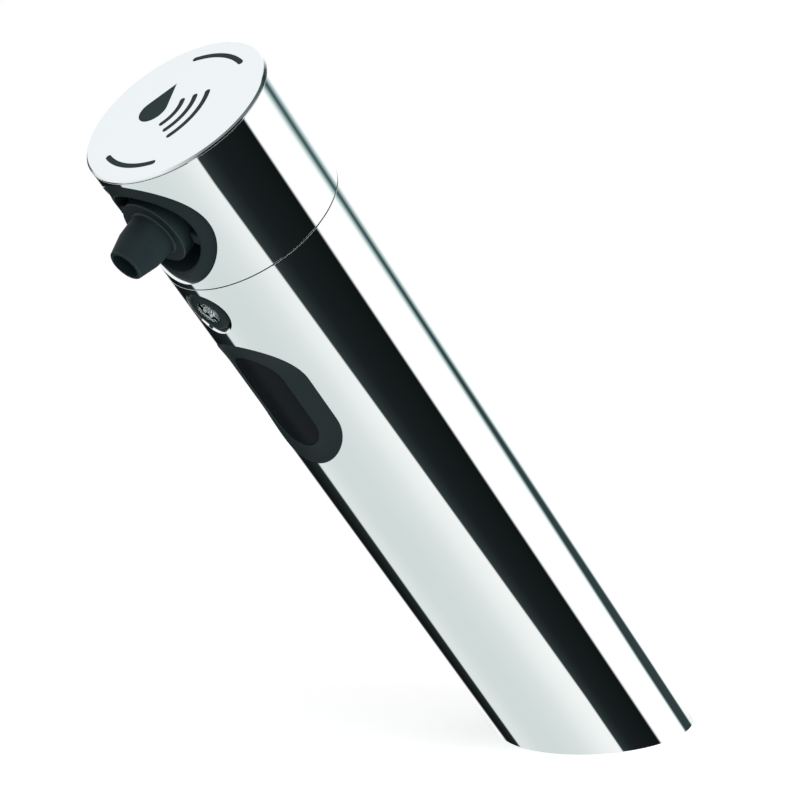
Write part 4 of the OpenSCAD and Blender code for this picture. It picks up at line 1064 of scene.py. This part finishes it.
def addNozzle():
    s = soapNozzle
    profile = rounded(s["corners"], s["cornerSteps"], s["cornerShare"])
    placing = frontAxis(s["at"])
    mesh = turnedMesh("soapNozzle", profile, s["steps"], "black_plastic", placing, s["sharpAt"])
    mesh.materials.clear()
    for slot in ("black_plastic", "worn_plastic_and_highlight"):
        mesh.materials.append(materials[slot])
    # faces near the listed edges take the lighter finish: wear and painted highlight lines
    back = (toRow @ placing).inverted()
    for face in mesh.polygons:
        x, y, out = back @ face.center
        wearAndHighlight = any(math.hypot(math.hypot(x, y) - r, out - k) < reach for r, k, reach in s["wearAndHighlight"])
        face.material_index = int(wearAndHighlight)
    work = bmesh.new()
    work.from_mesh(mesh)
    for corners, sides in bayonetBlocks(s["lugs"], s["at"]):
        verts = [work.verts.new(toRow @ Vector(p)) for p in corners]
        made = [work.faces.new([verts[i] for i in side]) for side in sides]
        bmesh.ops.recalc_face_normals(work, faces=made)
    work.to_mesh(mesh)
    work.free()
    settle("soapNozzle", mesh, "black_plastic", "nozzle", "nozzle")


addNozzle()
print("nozzle turned")


# light lens: smooth crown in front, cut facets behind

lightLens = {
    "at": tube["lightAt"], "radius": 3.5, "crown": 20.0, "top": 24.9, "back": 20.7, "shoulder": 4.2,
    "shoulderTop": 21.7, "columns": 60, "crownRings": 8, "facets": 10, "facetRings": 5, "cut": 0.8,
    "sharpAt": 12.0, "backward": 0.2,     # faces turned further back than this are mirrored
}


def addLens():
    s = lightLens
    columns, rings = s["columns"], s["facetRings"]
    rows = []
    crownAt = s["top"] - s["crown"]
    for i in range(s["crownRings"] + 1):
        r = s["radius"] * i / s["crownRings"]
        rows.append([(r, math.sqrt(s["crown"] ** 2 - r * r) + crownAt)] * columns)
    rows.append([(s["radius"], s["shoulderTop"])] * columns)
    rows.append([(s["shoulder"], s["shoulderTop"])] * columns)
    rows.append([(s["shoulder"], s["back"])] * columns)
    for ring in range(1, rings + 1):
        r = s["shoulder"] * (1 - ring / rings)
        cut = s["cut"] if ring < rings else 0.0
        line = []
        for c in range(columns):
            step = c * s["facets"] / columns + 0.5 * (ring % 2)  # every other ring is half a facet round
            line.append((r, s["back"] + cut * abs(step % 1 - 0.5) * 2))
        rows.append(line)
    points = []
    for line in rows:
        for c, (r, k) in enumerate(line):
            angle = 2 * math.pi * c / columns
            points.append((r * math.cos(angle), -k, s["at"] + r * math.sin(angle)))
    mesh = closeMesh("lightLens", points, bandFaces(len(rows), columns), "clear_lens", s["sharpAt"])
    mesh.materials.append(materials["lens_facets"])
    rearward = leanTurn.to_3x3() @ Vector((0, 1, 0))
    for face in mesh.polygons:
        face.material_index = int(face.normal.dot(rearward) > s["backward"])
    settle("lightLens", mesh, "clear_lens", "housing", "indicator_lens")


addLens()
print("lens cut")


# print on the cap: a plain drop with sensing waves, and two rim marks

capPrint = {
    "ink": {"tones": ((0.033, 0.053, 0.053), (0.042, 0.066, 0.066)), "rough": (0.42, 0.55),
            "grain": (1800.0, 0.05), "specular": 0.05},
    "thick": 0.02, "sharpAt": 30.0, "dropSteps": 48, "arcSteps": 28, "endSteps": 8,
    "drop": {"at": (-7.5, -0.8), "radius": 4.1, "tip": 9.6},
    "waves": {"at": (-7.5, -0.8), "radii": (8.4, 12.0, 15.6), "width": 1.5, "spread": 30.0},
    "rimMarks": {"radius": 19.6, "width": 1.5, "spread": 26.0, "sides": (90.0, -90.0)},
}


def arc(centre, radius, start, end, steps):
    angles = [start + (end - start) * i / steps for i in range(steps + 1)]
    return [(centre[0] + radius * math.cos(a), centre[1] + radius * math.sin(a)) for a in angles]


def arcBand(centre, radius, width, middle, spread):
    # closed outline of a curved bar with round ends
    half, steps, endSteps = width / 2, capPrint["arcSteps"], capPrint["endSteps"]
    low, high = math.radians(middle - spread), math.radians(middle + spread)
    lowEnd, highEnd = arc(centre, radius, low, high, 1)
    return (arc(centre, radius + half, low, high, steps)
            + arc(highEnd, half, high, high + math.pi, endSteps)[1:-1]
            + arc(centre, radius - half, high, low, steps)
            + arc(lowEnd, half, low + math.pi, low + 2 * math.pi, endSteps)[1:-1])


def dropOutline(centre, radius, tip):
    # round drop with its point to the back
    start = math.pi / 2 + math.acos(radius / tip)
    bowl = arc(centre, radius, start, 3 * math.pi - start, capPrint["dropSteps"])
    return [(centre[0], centre[1] + tip)] + bowl


def addPrint():
    s = capPrint
    materials["capInk"] = makeFinish("capInk", s["ink"])
    drop, waves, marks = s["drop"], s["waves"], s["rimMarks"]
    shapes = [dropOutline(drop["at"], drop["radius"], drop["tip"])]
    shapes += [arcBand(waves["at"], r, waves["width"], 0.0, waves["spread"]) for r in waves["radii"]]
    for side in marks["sides"]:
        shapes.append(arcBand((0, 0), marks["radius"], marks["width"], side, marks["spread"]))
    points, faces = [], []
    for shape in shapes:
        first, count = len(points), len(shape)
        for level in (tube["capFace"], tube["capFace"] + s["thick"]):
            points.extend((x, y, level) for x, y in shape)
        faces.append(tuple(first + count + i for i in range(count)))
        faces.append(tuple(first + i for i in reversed(range(count))))
        faces.extend(bandFaces(2, count, first))
    mesh = closeMesh("capPrint", points, faces, "capInk", s["sharpAt"])
    settle("capPrint", mesh, "black_plastic", "housing")


addPrint()
print("cap printed")
